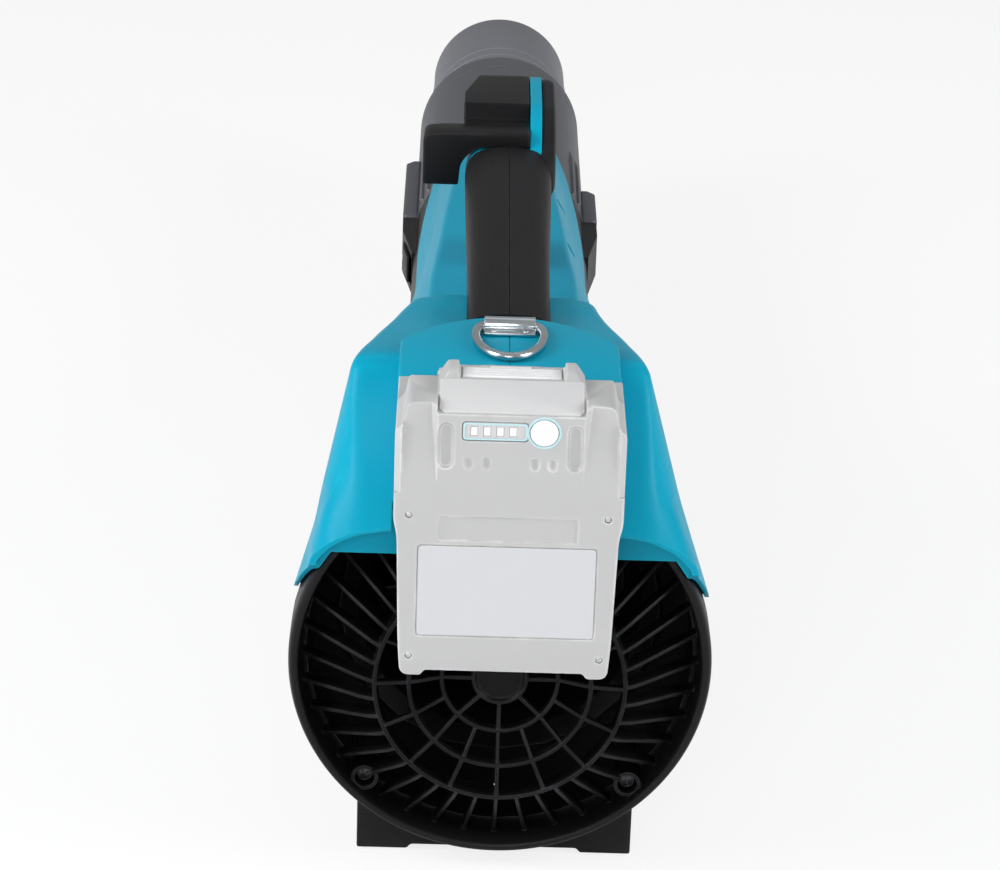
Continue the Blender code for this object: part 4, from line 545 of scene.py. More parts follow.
def buildCamera():
    yaw, pitch, roll = (math.radians(studio[key]) for key in ("yaw", "pitch", "roll"))
    forward = Vector((math.sin(yaw) * math.cos(pitch), math.cos(yaw) * math.cos(pitch), -math.sin(pitch)))
    level = Vector((math.cos(yaw), -math.sin(yaw), 0))
    above = level.cross(forward)
    right = math.cos(roll) * level + math.sin(roll) * above
    up = -math.sin(roll) * level + math.cos(roll) * above
    lens = bpy.data.cameras.new("photoCamera")
    lens.lens = studio["lens"]
    lens.sensor_width = 36
    lens.sensor_fit = "HORIZONTAL"
    lens.clip_start = 0.02
    camera = bpy.data.objects.new("photoCamera", lens)
    bpy.context.scene.collection.objects.link(camera)
    turn = Matrix((right, up, -forward)).transposed().to_4x4()
    camera.matrix_world = Matrix.Translation(studio["eye"]) @ turn
    bpy.context.scene.camera = camera


def softLamp(name, place, aim, size, watts):
    light = bpy.data.lights.new(name, "AREA")
    light.shape = "RECTANGLE"
    light.size, light.size_y = size
    light.energy = watts
    lamp = bpy.data.objects.new(name, light)
    bpy.context.scene.collection.objects.link(lamp)
    lamp.location = place
    lamp.rotation_euler = (Vector(aim) - Vector(place)).to_track_quat("-Z", "Y").to_euler()


def buildWorld():
    world = bpy.data.worlds.new("paleRoom")
    bpy.context.scene.world = world
    world.use_nodes = True
    tree = world.node_tree
    tree.nodes.clear()
    place = wire(tree, "TexCoord").outputs["Generated"]
    height = wire(tree, "SeparateXYZ", {0: place}).outputs[2]
    level = wire(tree, "MapRange", {"Value": height, 1: -0.2, 2: 0.9, 3: 0.34, 4: 0.38})
    room = wire(tree, "Background", {"Color": (0.97, 0.985, 1.0, 1), "Strength": level.outputs[0]})
    white = wire(tree, "Background", {"Color": (1, 1, 1, 1), "Strength": 1.0})
    path = wire(tree, "LightPath")
    mixed = wire(tree, "MixShader", {0: path.outputs["Is Camera Ray"], 1: room.outputs[0], 2: white.outputs[0]})
    tree.links.new(mixed.outputs[0], wire(tree, "OutputWorld").inputs["Surface"])


def buildFloor():
    mesh = bmesh.new()
    bmesh.ops.create_grid(mesh, x_segments=8, y_segments=8, size=studio["floorSize"] / 2)
    data = bpy.data.meshes.new("floor")
    mesh.to_mesh(data)
    mesh.free()
    floor = bpy.data.objects.new("floor", data)
    bpy.context.scene.collection.objects.link(floor)
    floor.location.z = -0.0005
    material, tree, surface = newMaterial("paleFloor", (0.9, 0.9, 0.9))
    place = wire(tree, "TexCoord").outputs["Object"]
    cloud = wire(tree, "TexNoise", {"Vector": place, "Scale": 1.4, "Detail": 2.0})
    tree.links.new(mixColor(tree, cloud.outputs[0], (0.86, 0.86, 0.86, 1), (0.90, 0.90, 0.90, 1)),
                   surface.inputs["Base Color"])
    surface.inputs["Roughness"].default_value = 0.8
    surface.inputs["Specular IOR Level"].default_value = 0.1
    path = wire(tree, "LightPath")
    white = wire(tree, "Emission", {"Color": (1, 1, 1, 1), "Strength": 1.0})
    share = wire(tree, "Math", {0: path.outputs["Is Camera Ray"], 1: 0.80}, operation="MULTIPLY")
    mixed = wire(tree, "MixShader", {0: share.outputs[0], 1: surface.outputs[0], 2: white.outputs[0]})
    tree.links.new(mixed.outputs[0], tree.nodes["Material Output"].inputs["Surface"])
    data.materials.append(material)


bpy.context.scene.view_settings.view_transform = "Standard"
buildCamera()
buildWorld()
buildFloor()
softLamp("keyLamp", (-1.5, -0.7, 1.0), (0, -0.2, 0.12), (0.9, 1.1), 28)
softLamp("fillLamp", (1.6, -0.8, 0.9), (0, -0.2, 0.12), (0.8, 1.1), 23)
softLamp("topLamp", (0.1, 0.4, 1.9), (0, -0.1, 0.12), (1.4, 0.8), 1.5)
softLamp("rearLamp", (-0.3, -2.2, 0.9), (0, -0.4, 0.12), (0.9, 0.6), 16)
print("studio built")


hood = {
    "screws": ((0.316, 0.0720), (0.348, 0.0527), (0.415, 0.0513), (0.480, 0.0502)),  # y, z
    "radii": (0.0, 0.0024, 0.0045, 0.0060, 0.0050, 0.0, 0.0),
    "rear": -0.015, "end": 0.565, "top": 0.128, "wall": 0.0028, "step": 0.0045,
    # y, top half width, top z, shoulder half width, shoulder z, waist angle and stand, hip angle and stand,
    # skirt z and stand
    "stations": [
        (-0.015, 0.0400, 0.0680, 0.0580, 0.0655, 41.1, 0.0062, 35.6, 0.0076, 0.0505, 0.0062),
        (0.000, 0.0420, 0.0870, 0.0570, 0.0845, 45.6, 0.0117, 33.7, 0.0064, 0.0420, 0.0030),
        (0.026, 0.0440, 0.1245, 0.0550, 0.1230, 43.1, 0.0110, 34.2, 0.0055, 0.0220, 0.0020),
        (0.060, 0.0360, 0.1208, 0.0486, 0.1195, 43.7, 0.0172, 33.7, 0.0105, 0.0180, 0.0020),
        (0.100, 0.0300, 0.1152, 0.0402, 0.1140, 44.0, 0.0170, 33.7, 0.0110, 0.0180, 0.0020),
        (0.122, 0.0260, 0.1140, 0.0370, 0.1115, 44.0, 0.0140, 33.7, 0.0090, 0.0180, 0.0020),
        (0.140, 0.0340, 0.0665, 0.0420, 0.0560, 40.0, 0.0060, 30.0, 0.0045, 0.0180, 0.0020),
        (0.200, 0.0340, 0.0640, 0.0415, 0.0530, 38.0, 0.0050, 29.0, 0.0035, 0.0180, 0.0020),
        (0.278, 0.0335, 0.0605, 0.0400, 0.0500, 37.0, 0.0045, 29.0, 0.0032, 0.0200, 0.0020),
        (0.345, 0.0300, 0.0585, 0.0370, 0.0465, 40.0, 0.0045, 34.0, 0.0030, 0.0200, 0.0018),
        (0.415, 0.0260, 0.0570, 0.0325, 0.0465, 44.0, 0.0040, 38.0, 0.0026, 0.0200, 0.0016),
        (0.505, 0.0200, 0.0535, 0.0260, 0.0465, 52.0, 0.0034, 47.0, 0.0024, 0.0300, 0.0016),
        (0.565, 0.0110, 0.0480, 0.0150, 0.0470, 66.0, 0.0024, 63.5, 0.0020, 0.0410, 0.0016)],
    # y, how much further the left shoulder, waist and hip stand out than the right ones
    "leans": [(-0.015, 0.0, 0.0, 0.0), (0.000, 0.0020, 0.0034, 0.0006), (0.026, 0.0070, 0.0034, 0.0012),
              (0.060, 0.0064, 0.0038, 0.0024), (0.100, 0.0060, 0.0030, 0.0020),
              (0.122, 0.0040, 0.0016, 0.0010), (0.140, 0.0, 0.0, 0.0),
              (0.565, 0.0, 0.0, 0.0)],
}
duct = {
    "knots": [(0.0183, 0.0857), (0.026, 0.0855), (0.040, 0.08054), (0.060, 0.0704), (0.085, 0.0626),
              (0.110, 0.060), (0.200, 0.060), (0.24988, 0.057484), (0.29976, 0.052452),
              (0.34448, 0.04742), (0.372, 0.0452)],
    "rim": 0.086, "rimDepth": 0.018, "pipe": 0.0452, "end": 0.505, "chord": 0.0511,
    "sealWall": (0.0006, 0.0021), "sealReach": (0.045, 0.370), "sealHalf": 0.00014,
}
dock = {"half": 0.0435, "side": 0.033, "bow": 0.029, "face": -0.008, "low": 0.052}
handle = {
    # y, z, half width, half height of the grip along its middle line
    "path": [(0.040, 0.1050, 0.0165, 0.0150), (0.068, 0.1115, 0.0174, 0.0160), (0.110, 0.1148, 0.0174, 0.0160),
             (0.150, 0.1175, 0.0178, 0.0160), (0.200, 0.1205, 0.0188, 0.0160), (0.2465, 0.1230, 0.0196, 0.0160),
             (0.268, 0.1190, 0.0190, 0.0170), (0.287, 0.1090, 0.0180, 0.0175), (0.301, 0.0940, 0.0172, 0.0175),
             (0.311, 0.0770, 0.0165, 0.0170), (0.318, 0.0540, 0.0160, 0.0165)],
    "squareness": [(0, 0.52), (2, 0.56), (4, 0.68), (5, 0.72), (10, 0.77)],
    "skin": 0.0028, "end": 0.2445, "fine": 5, "triggerAxis": (0.251, 0.111), "leverAxis": (0.290, 0.125),
    "cheek": [(0.2400, 0.1130), (0.2430, 0.1345), (0.2475, 0.1405), (0.2580, 0.1475), (0.2700, 0.1508),
              (0.3060, 0.1518), (0.3200, 0.1490), (0.3255, 0.1410), (0.3255, 0.1280),
              (0.3210, 0.1050), (0.3120, 0.0900), (0.2900, 0.0880), (0.2600, 0.1000)],
    "column": [(0.2360, 0.1200), (0.2380, 0.1330), (0.2475, 0.1400), (0.2580, 0.1470), (0.2700, 0.1500),
               (0.3060, 0.1510), (0.3200, 0.1480), (0.3250, 0.1400), (0.3250, 0.1280),
               (0.3200, 0.1120), (0.3100, 0.1030), (0.2900, 0.1010), (0.2640, 0.1090)],
}


def ductRadius(y):
    return duct["rim"] if y < duct["rimDepth"] + gap else through(duct["knots"], y)


def hoodRing(y, growth=0.0, drop=0.0):
    row = [through([(station[0], station[column]) for station in hood["stations"]], y) for column in range(1, 11)]
    topWidth, topHeight, width, height, waist, waistStand, hip, hipStand, skirt, skirtStand = row
    base = ductRadius(y)
    waist, hip = math.radians(waist), math.radians(hip)
    skirtWidth = math.sqrt((base + skirtStand) ** 2 - skirt ** 2)
    half = [(0.0, topHeight), (topWidth, topHeight), (width, height),
            onCircle(base + waistStand, waist), onCircle(base + hipStand, hip),
            (skirtWidth, skirt), (0.0, skirt)]
    leans = [through([(lean[0], lean[column]) for lean in hood["leans"]], y) for column in (1, 2, 3)]
    left = [(-x - lean, z) for (x, z), lean in zip(half[1:-1], [0.0] + leans + [0.0])]
    radii = hood["radii"] + hood["radii"][1:-1][::-1]
    ring = fillet(half + left[::-1], radii, 7)
    drops = [drop if abs(point.y - skirt) < 1e-7 else 0.0 for point in ring]
    if growth:
        ring = grown(ring, growth)
    return [(point.x, y, point.y - down) for point, down in zip(ring, drops)]


def hoodSolid(name, start, end, growth=0.0, drop=0.0):
    count = max(2, int((end - start) / hood["step"]))
    return skin(name, [hoodRing(start + (end - start) * i / count, growth, drop) for i in range(count + 1)])


def handleRing(place, growth, points=56):
    path = handle["path"]
    squareness = through(handle["squareness"], place)
    at = [through([(i, row[column]) for i, row in enumerate(path)], place) for column in range(4)]
    ahead = [through([(i, row[column]) for i, row in enumerate(path)], place + 0.25) for column in (0, 1)]
    behind = [through([(i, row[column]) for i, row in enumerate(path)], place - 0.25) for column in (0, 1)]
    tilt = math.atan2(ahead[1] - behind[1], ahead[0] - behind[0])
    ring = []
    for k in range(points):
        angle = 2 * math.pi * (k + 0.5) / points
        u = math.copysign(abs(math.cos(angle)) ** squareness, math.cos(angle)) * (at[2] + growth)
        v = math.copysign(abs(math.sin(angle)) ** squareness, math.sin(angle)) * (at[3] + growth)
        ring.append((u, at[0] - v * math.sin(tilt), at[1] + v * math.cos(tilt)))
    return ring


def handleSolid(name, stops, points=56):
    rings = []
    for (start, growth), (end, nextGrowth) in zip(stops, stops[1:]):
        if start == end:
            continue
        count = max(1, round((end - start) * handle["fine"]))
        rings += [handleRing(start + (end - start) * i / count, growth, points) for i in range(count)]
        if nextGrowth != growth:
            rings.append(handleRing(end, growth, points))
    rings.append(handleRing(stops[-1][0], stops[-1][1], points))
    return skin(name, rings)


def cheekPlate(name, growth, low, high, bevel=0.0, outline="cheek"):
    outline = fillet(handle[outline], 0.004, 5)
    return extruded(name, grown(outline, growth) if growth else outline, "x", low, high, bevel)


def ductSpace(name):
    outer = [(y, radius + gap) for y, radius in duct["knots"]] + [(duct["end"], duct["pipe"] + gap)]
    fine = [(y, through(outer, y)) for y in np.linspace(outer[0][0], outer[-1][0], 90)]
    rim = duct["rim"] + 2 * gap
    profile = [(-gap, 0.0), (-gap, rim), (duct["rimDepth"] + 2 * gap, rim)] + fine[1:]
    return lathe(name, profile + [(0.62, duct["pipe"] + gap), (0.62, 0.0)], 144)


def chordSpace(name):
    edge = duct["rim"] - 0.0005
    turn = math.asin(duct["chord"] / edge)
    angles = [math.pi - turn + (math.pi + 2 * turn) * i / 90 for i in range(91)]
    return extruded(name, [onCircle(edge, angle) for angle in angles], "y", -0.025, 0.001)


def dockOutline(inset=0.0, rear=dock["face"]):
    edge, side = dock["half"] - inset, dock["side"] - inset
    bow = [(edge * (1 - 2 * t), side + dock["bow"] * math.sin(math.pi * t) ** 0.7)
           for t in (i / 32 for i in range(33))]
    return [(-edge, rear), (edge, rear)] + bow


def crossHole(name, place, start, end, radius):
    return rod(name, (start, place[0], place[1]), (end, place[0], place[1]), radius)


# What lies past the middle plane of a half on the given side.
def otherSide(side):
    return block("otherSide", (-seam, 2.0) if side > 0 else (-2.0, seam), (-2, 2), (-2, 2))


def triggerSlot(name):
    return block(name, (-0.0089, 0.0089), (0.203, 0.2605), (0.070, 0.1190), 0.0008)


def buildHousing():
    body = hoodSolid("housing", hood["rear"], hood["end"])
    tray = extruded("dock", dockOutline(), "z", dock["low"], hood["top"], 0.0012, 3)
    core = handleSolid("core", [(0, -handle["skin"]), (5, -handle["skin"]), (5, 0.0), (10, 0.0)])
    join(core, cheekPlate("cheek", 0.0, 0.0026, 0.0158))
    join(body, tray, core)
    cut(body, ductSpace("ductSpace"), chordSpace("chordSpace"),
        hoodSolid("room", -gap, 0.109, -hood["wall"], 0.06),
        extruded("dockRoom", dockOutline(hood["wall"], -gap), "z", 0.0505, hood["top"] - hood["wall"]),
        hoodSolid("pocket", -0.035, -0.0035, -hood["wall"], 0.06),
        block("batterySpace", (-0.0446, 0.0446), (-0.09, -0.008), (0.0, 0.3)))
    cut(body, handleSolid("cavity", [(0, -0.0058), (5, -0.0058)], 24), triggerSlot("slot"),
        block("leverDeep", (-0.060, 0.0096), (0.2575, 0.36), (0.1127, 0.20)),
        block("leverShelf", (-0.060, 0.0096), (handle["end"], 0.36), (0.1368, 0.20)),
        cheekPlate("column", gap, 0.0148, 0.05),
        crossHole("triggerHole", handle["triggerAxis"], -0.0125, 0.0125, 0.0019),
        crossHole("leverHole", handle["leverAxis"], 0.0, 0.05, 0.0022))
    for place in hood["screws"]:
        cut(body, crossHole("shank", place, -0.0106, 0.013, 0.0020), crossHole("head", place, 0.012, 0.08, 0.0036))
    for side, name in ((1, "housingLeft"), (-1, "housingRight")):
        half = newObject(name, body.data.copy())
        cut(half, otherSide(side))
        fitted(name, half, "base", "shell", ["housing_left" if side > 0 else "housing_right"])
    bpy.data.objects.remove(body)
    outer, inner = duct["sealWall"]
    wall = [(y, through(duct["knots"], y)) for y in np.linspace(*duct["sealReach"], 40)]
    outline = [(y, outer - radius) for y, radius in wall] + [(y, inner - radius) for y, radius in reversed(wall)]
    seal = extruded("seamSeal", outline, "x", -duct["sealHalf"], duct["sealHalf"])
    fitted("seamSeal", seal, "base", "blackPlastic")


def buildGrips():
    end = handle["end"]
    whole = handleSolid("grip", [(1, 0.0), (5, 0.0)], 96)
    cut(whole, block("behind", (-0.1, 0.1), (end, 0.4), (0.0, 0.3)),
        hoodSolid("hood", hood["rear"], hood["end"], gap),
        extruded("dock", grown(dockOutline(), gap), "z", 0.05, hood["top"] + gap),
        handleSolid("core", [(0, gap - handle["skin"]), (5, gap - handle["skin"])]), triggerSlot("slot"))
    for side, name in ((-1, "gripLeft"), (1, "gripRight")):
        half = newObject(name, whole.data.copy())
        cut(half, otherSide(-side))
        if side > 0:
            join(half, cheekPlate("column", 0.0, 0.0138, 0.0212, 0.0030, "column"))
            cut(half, cheekPlate("cheek", gap, 0.0023, 0.0151),
                crossHole("leverHole", handle["leverAxis"], 0.0, 0.0173, 0.0022))
        fitted(name, half, "base", "elastomer", ["grip_left" if side < 0 else "grip_right"])
    bpy.data.objects.remove(whole)


cover = {
    "radius": 0.0857, "depth": 0.018, "lip": 0.0804, "lipDepth": 0.011, "vanes": 40, "thickness": 0.0016,
    "grille": 0.051, "rise": 0.0175, "dish": 0.0070, "spokes": 16, "rings": (0.0365, 0.0234, 0.0105),
    "ringWidth": 0.0018, "ringDepth": 0.0040, "chord": 0.0505,
    "screwRadius": 0.0762, "screwHead": 0.0038, "shank": 0.0019,
}


def screwPlaces():
    reach = cover["screwRadius"]
    return [onCircle(reach, math.radians(a)) for a in (45, 135, 225, 315)]


def grilleDepth(radius):
    edge, inner, _ = cover["rings"]
    if radius >= edge:
        return -cover["rise"] + 0.0015 * (cover["grille"] - radius) / (cover["grille"] - edge)
    if radius <= inner:
        return -cover["rise"] + cover["dish"]
    return -cover["rise"] + 0.0015 + (cover["dish"] - 0.0015) * (edge - radius) / (edge - inner)


# A plate with a (radius, y) outline and softened edges, turned about the fan axis.
def radialPlate(name, outline, angle, thickness, bevel):
    plate = extruded(name, outline, "z", -thickness / 2, thickness / 2, bevel, 2)
    plate.data.transform(Matrix.Rotation(math.radians(angle), 4, "Y"))
    return plate


def roundedRing(name, y, radius, width, depth, steps):
    outline = fillet([(y, radius - width / 2), (y + depth, radius - width / 2),
                      (y + depth, radius + width / 2), (y, radius + width / 2)],
                     (width * 0.42, 0.0, 0.0, width * 0.42), 4)
    return turned(name, outline, steps, math.pi / steps)


def buildCover():
    radius, lip, grille = cover["radius"], cover["lip"], cover["grille"]
    rim = turned("rim", fillet([
        (cover["depth"], radius), (0.0028, radius), (0.0, radius - 0.0012), (-0.0002, radius - 0.0040),
        (0.0030, lip + 0.0004), (cover["lipDepth"], lip), (cover["depth"], lip)],
        (0.0, 0.0024, 0.0016, 0.0020, 0.0040, 0.0020, 0.0), 5), 200)
    kink, inside = grille + 0.0042, grille - 0.0010
    outline = fillet([(lip + 0.001, cover["lipDepth"] - 0.001), (lip + 0.001, cover["depth"] - 0.0015),
                      (kink, -0.0020), (inside, -0.0090), (inside, -cover["rise"] + 0.0014),
                      (kink, -cover["rise"] + 0.0046)],
                     (0.0, 0.0, 0.0, 0.0, 0.0, 0.0040), 4)
    step = 360 / cover["vanes"]
    join(rim, merged("vanes", [radialPlate("vane", outline, step * i, cover["thickness"], 0.0004)
                               for i in range(cover["vanes"])]))
    join(rim, roundedRing("grilleRing", -cover["rise"], grille - 0.0009, 0.0018, 0.0094, 160))
    reachOut = grille - 0.001
    spokes = []
    for i in range(cover["spokes"]):
        inner = cover["rings"][2 if i % 2 == 0 else 1]
        radii = sorted({reachOut, *cover["rings"][:2], inner}, reverse=True)
        rear = [(r, grilleDepth(r) + 0.0004) for r in radii]
        ahead = [(r, y + cover["ringDepth"] - 0.0008) for r, y in reversed(rear)]
        spokes.append(radialPlate("spoke", rear + ahead, 360 * i / cover["spokes"], cover["thickness"], 0.0004))
    rings = [roundedRing("ring", grilleDepth(r), r, cover["ringWidth"], cover["ringDepth"], 96)
             for r in cover["rings"][:2]]
    y, hub = grilleDepth(0.0), cover["rings"][2]
    rings.append(lathe("hub", [(y + 0.0016, 0.0), (y + 0.0016, hub - 0.0014), (y + 0.0006, hub - 0.0010),
                               (y, hub - 0.0003), (y, hub + 0.0004), (y + 0.0006, hub + 0.0010),
                               (y + cover["ringDepth"], hub + 0.0010), (y + cover["ringDepth"], 0.0)], 64))
    join(rim, merged("rings", rings))
    join(rim, merged("spokes", spokes))
    for x, z in screwPlaces():
        join(rim, rod("boss", (x, 0.0036, z), (x, cover["depth"], z), 0.0056, 40))
        cut(rim, rod("shankHole", (x, -0.03, z), (x, 0.03, z), cover["shank"] + gap, 24),
            rod("headHole", (x, -0.03, z), (x, 0.0095, z), cover["screwHead"] + gap, 40))
    cut(rim, block("aboveChord", (-0.12, 0.12), (-0.05, -gap / 2), (cover["chord"], 0.12)))
    piece = fitted("intakeCover", rim, "base", "shadedBlack", ("intake_cover",))
    # Faces inside the lip keep the darker black as painted shade of the intake; the rim outside it takes the
    # ordinary black.
    piece.data.materials.append(materials["blackPlastic"])
    for face in piece.data.polygons:
        x, _, z = face.center - fanOrigin
        face.material_index = int(math.hypot(x, z) > lip - 0.0003)


def buildCoverScrews():
    for number, (x, z) in enumerate(screwPlaces(), 1):
        top, seat, head = 0.0070, 0.0095 - gap, cover["screwHead"]
        profile = fillet([(seat, head), (top + 0.0006, head), (top, head - 0.0012)], (0.0, 0.0005, 0.0006), 3)
        screw = lathe("screw", [(0.033, 0.0), (0.033, 0.0008), (0.031, cover["shank"]), (seat, cover["shank"])]
                      + [(p.x, p.y) for p in profile] + [(top, 0.0)], 40)
        screw.data.transform(Matrix.Translation((x, 0.0, z)))
        for turn in (20 * number, 20 * number + 90):
            slot = block("slot", (-0.0021, 0.0021), (top - 0.001, top + 0.0011), (-0.0004, 0.0004))
            slot.data.transform(Matrix.Translation((x, 0.0, z)) @ Matrix.Rotation(math.radians(turn), 4, "Y"))
            cut(screw, slot)
        fitted("coverScrew%d" % number, screw, "base", "screwSteel", ("cover_screw_%d" % number,))


stand = {
    "bottom": -0.092, "halfWidth": 0.057, "skid": 0.021, "start": 0.013, "end": 0.185, "wall": 0.016,
    "side": 0.024, "top": 0.044, "slope": 0.012, "windowStart": 0.052, "windowLow": 0.011, "windowHigh": 0.05,
    "treads": 6, "treadStart": 0.026, "treadStep": 0.025, "treadWidth": 0.003, "treadDepth": 0.0007,
}


def buildStand():
    bottom, edge = stand["bottom"], stand["halfWidth"]
    inner = edge - stand["skid"]
    side, top, slope = bottom + stand["side"], bottom + stand["top"], stand["slope"]
    outline = [(-edge, bottom), (-inner, bottom), (-inner + 0.0015, bottom + 0.002),
               (inner - 0.0015, bottom + 0.002), (inner, bottom), (edge, bottom),
               (edge, side), (edge - slope, top), (-edge + slope, top), (-edge, side)]
    foot = extruded("stand", outline, "y", stand["start"], stand["end"], 0.0009, 2)
    cut(foot, ductSpace("ductRoom"))
    front = stand["end"] - stand["wall"]
    cut(foot, block("well", (-inner + 0.004, inner - 0.004), (stand["start"] + 0.014, front),
                    (bottom - 0.01, -0.02)))
    rear, low, high = stand["windowStart"], bottom + stand["windowLow"], bottom + stand["windowHigh"]
    window = fillet([(rear, low), (front, low), (front - 0.008, high), (rear, high)], (0.006, 0.006, 0.0, 0.0), 8)
    cut(foot, extruded("window", window, "x", -0.1, 0.1))
    for side in (-1, 1):
        across = sorted((side * (inner + 0.004), side * (edge - 0.004)))
        for k in range(stand["treads"]):
            y = stand["treadStart"] + stand["treadStep"] * k
            cut(foot, block("tread", across, (y, y + stand["treadWidth"]),
                            (bottom - 0.001, bottom + stand["treadDepth"])))
    fitted("standFrame", foot, "base", "blackPlastic", ("stand",))


battery = {
    "rear": -0.077, "front": -0.0213, "split": -0.046, "bottom": 0.037, "top": 0.150, "half": 0.043,
    "wall": 0.0024, "drop": 0.0115, "travel": 0.0019, "button": 0.0188, "hook": 0.0080,
    "hookRear": -0.0204, "hookFront": -0.0101, "hookHeight": 0.1165,
    "railInner": 0.0223, "railOuter": 0.0282, "railBottom": 0.062, "railTop": 0.134,
    "gauge": (-0.0180, 0.0062, 0.1325, 0.1397), "check": (0.0122, 0.1361, 0.0052),
    "screws": [(-0.0372, 0.1015), (0.0372, 0.1015), (-0.0362, 0.0430), (0.0362, 0.0430)],
    "neck": 0.0036, "flange": 0.0034, "lamps": 4, "lampStep": 0.0048,
    "plate": (0.0338, 0.0515, 0.0895, 0.0018), "step": (0.0262, 0.0915, 0.1012, 0.0012),  # half, low, high, corner
    "troughs": (0.0240, 0.1237, 0.1362, 0.0032), "dimples": (-0.0155, -0.0088, 0.0092, 0.0158),
    "nameLean": 25.1,
}


def panelOutline(panel, inset=0.0, steps=6):
    half, low, high, corner = panel
    half, low, high = half - inset, low + inset, high - inset
    return fillet([(-half, low), (half, low), (half, high), (-half, high)], corner - inset / 2, steps)


# An upright trough with round ends that is sunk into the rear face.
def capsule(name, x, low, high, radius, depth):
    face = battery["rear"]
    outline = []
    for middle, start in ((high, 0.0), (low, math.pi)):
        arc = [onCircle(radius, start + math.pi * k / 12) for k in range(13)]
        outline += [(x + u, middle + v) for u, v in arc]
    floor = grown(outline, -depth * 0.8)
    rings = [[(u, y, v) for u, v in ring] for ring, y in
             ((grown(outline, 0.0008), face - 0.001), (outline, face), (floor, face + depth))]
    return skin(name, rings)


# Wedge beside the raised middle of the rear face, deepest at its top.
def sidePocket(side):
    face = battery["rear"]
    plan = [(0.0252, face - 0.0020), (0.0400, face - 0.0020), (0.0400, face + 0.0040), (0.0312, face + 0.0040)]
    pocket = extruded("pocket", [(side * x, y) for x, y in plan][::side], "z", 0.112, 0.170)
    slope = [(face - 0.0040, 0.0800), (face + 0.0000, 0.1155), (face + 0.0027, 0.1500), (face + 0.0036, 0.1720),
             (face - 0.0040, 0.1720)]
    return common(pocket, extruded("slope", slope, "x", *sorted((side * 0.02, side * 0.05))))


def caseOutline():
    edge, top = battery["half"], battery["top"]
    low = battery["bottom"]
    half = [(0.0300, low), (0.0316, low - 0.0022), (edge - 0.0036, low - 0.0022), (edge - 0.0026, 0.0480),
            (edge - 0.0014, 0.0930), (edge, 0.0990),
            (edge, top - 0.0150), (edge - 0.0030, top - 0.0120), (edge - 0.0045, top - 0.0040),
            (0.0275, top - 0.0034), (0.0240, top + 0.0020), (0.0200, top + 0.0020), (0.0198, top)]
    radii = [0.001, 0.001, 0.005, 0.012, 0.006, 0.006, 0.002, 0.002, 0.003, 0.0015, 0.001, 0.0006, 0.0]
    return fillet(half + [(-x, z) for x, z in reversed(half)], radii + radii[::-1], 6)


def releaseShape(name, growth, bevel=0.0):
    back, up = (battery["travel"], 0.05) if growth else (0.0, 0.0)
    top, half = battery["top"] - 0.0118 + up, battery["hook"] + growth
    leg = (battery["hookRear"] - growth - back, battery["hookRear"] + 0.003 + growth)
    height = battery["hookHeight"]
    wide = battery["button"] + growth
    button = block(name, (-wide, wide), (-0.0562 - growth - back, -0.0466 + growth),
                   (battery["top"] - 0.0148 - growth, battery["top"] - 0.0004 + up), bevel)
    return join(button, block("tongue", (-half, half), (-0.048, leg[1]), (battery["top"] - 0.0148 - growth, top)),
                block("leg", (-half, half), leg, (height - growth, top)),
                block("hook", (-half, half), (leg[0] + 0.001, battery["hookFront"] + growth),
                      (height - growth, height + 0.0038 + growth)))


def gaugeOutline(inset=0.0):
    left, right, low, high = battery["gauge"]
    corners = [(left + inset, low + inset), (right - inset, low + inset),
               (right - inset, high - inset), (left + inset, high - inset)]
    return fillet(corners, 0.0015 - inset * 0.6, 6)


# Name panel, troughs, side pockets and the bare plate of the case's rear face.
def shapeRearFace(case):
    face, top = battery["rear"], battery["top"]
    slope = [(face - 0.0060, top - 0.0103), (face + 0.0320, top + 0.0075), (face - 0.0060, top + 0.0075)]
    cut(case, extruded("bevel", slope, "x", -0.0274, 0.0274))
    shoulder = fillet([(face - 0.02, top + 0.02), (face - 0.02, top - 0.0052), (face - 0.0004, top - 0.0052),
                       (face + 0.0036, top - 0.0030), (face + 0.0330, top - 0.0048), (face + 0.0340, top + 0.02)],
                      (0.0, 0.0, 0.0, 0.0030, 0.0, 0.0), 8)
    for side in (-1, 1):
        cut(case, extruded("shoulder", shoulder, "x", *sorted((side * 0.0273, side * 0.06))), sidePocket(side))
        corner = [(side * 0.0404, face - 0.0002), (side * 0.0440, face - 0.0002), (side * 0.0440, face + 0.0034)]
        cut(case, extruded("corner", corner[::side], "z", 0.1105, 0.170))
        x, low, high, radius = battery["troughs"]
        cut(case, capsule("trough", side * x, low, high, radius, 0.0013))
    for x in battery["dimples"]:
        cut(case, capsule("dimple", x, 0.1224, 0.1238, 0.0018, 0.0007))
    cut(case, extruded("step", panelOutline(battery["step"], steps=4), "y", face - 0.01, face + 0.0004),
        extruded("plate", panelOutline(battery["plate"]), "y", face - 0.01, face + 0.0005))
    for x, z in battery["screws"]:
        cut(case, rod("well", (x, face - 0.01, z), (x, face + 0.0012, z), 0.0014, 32))


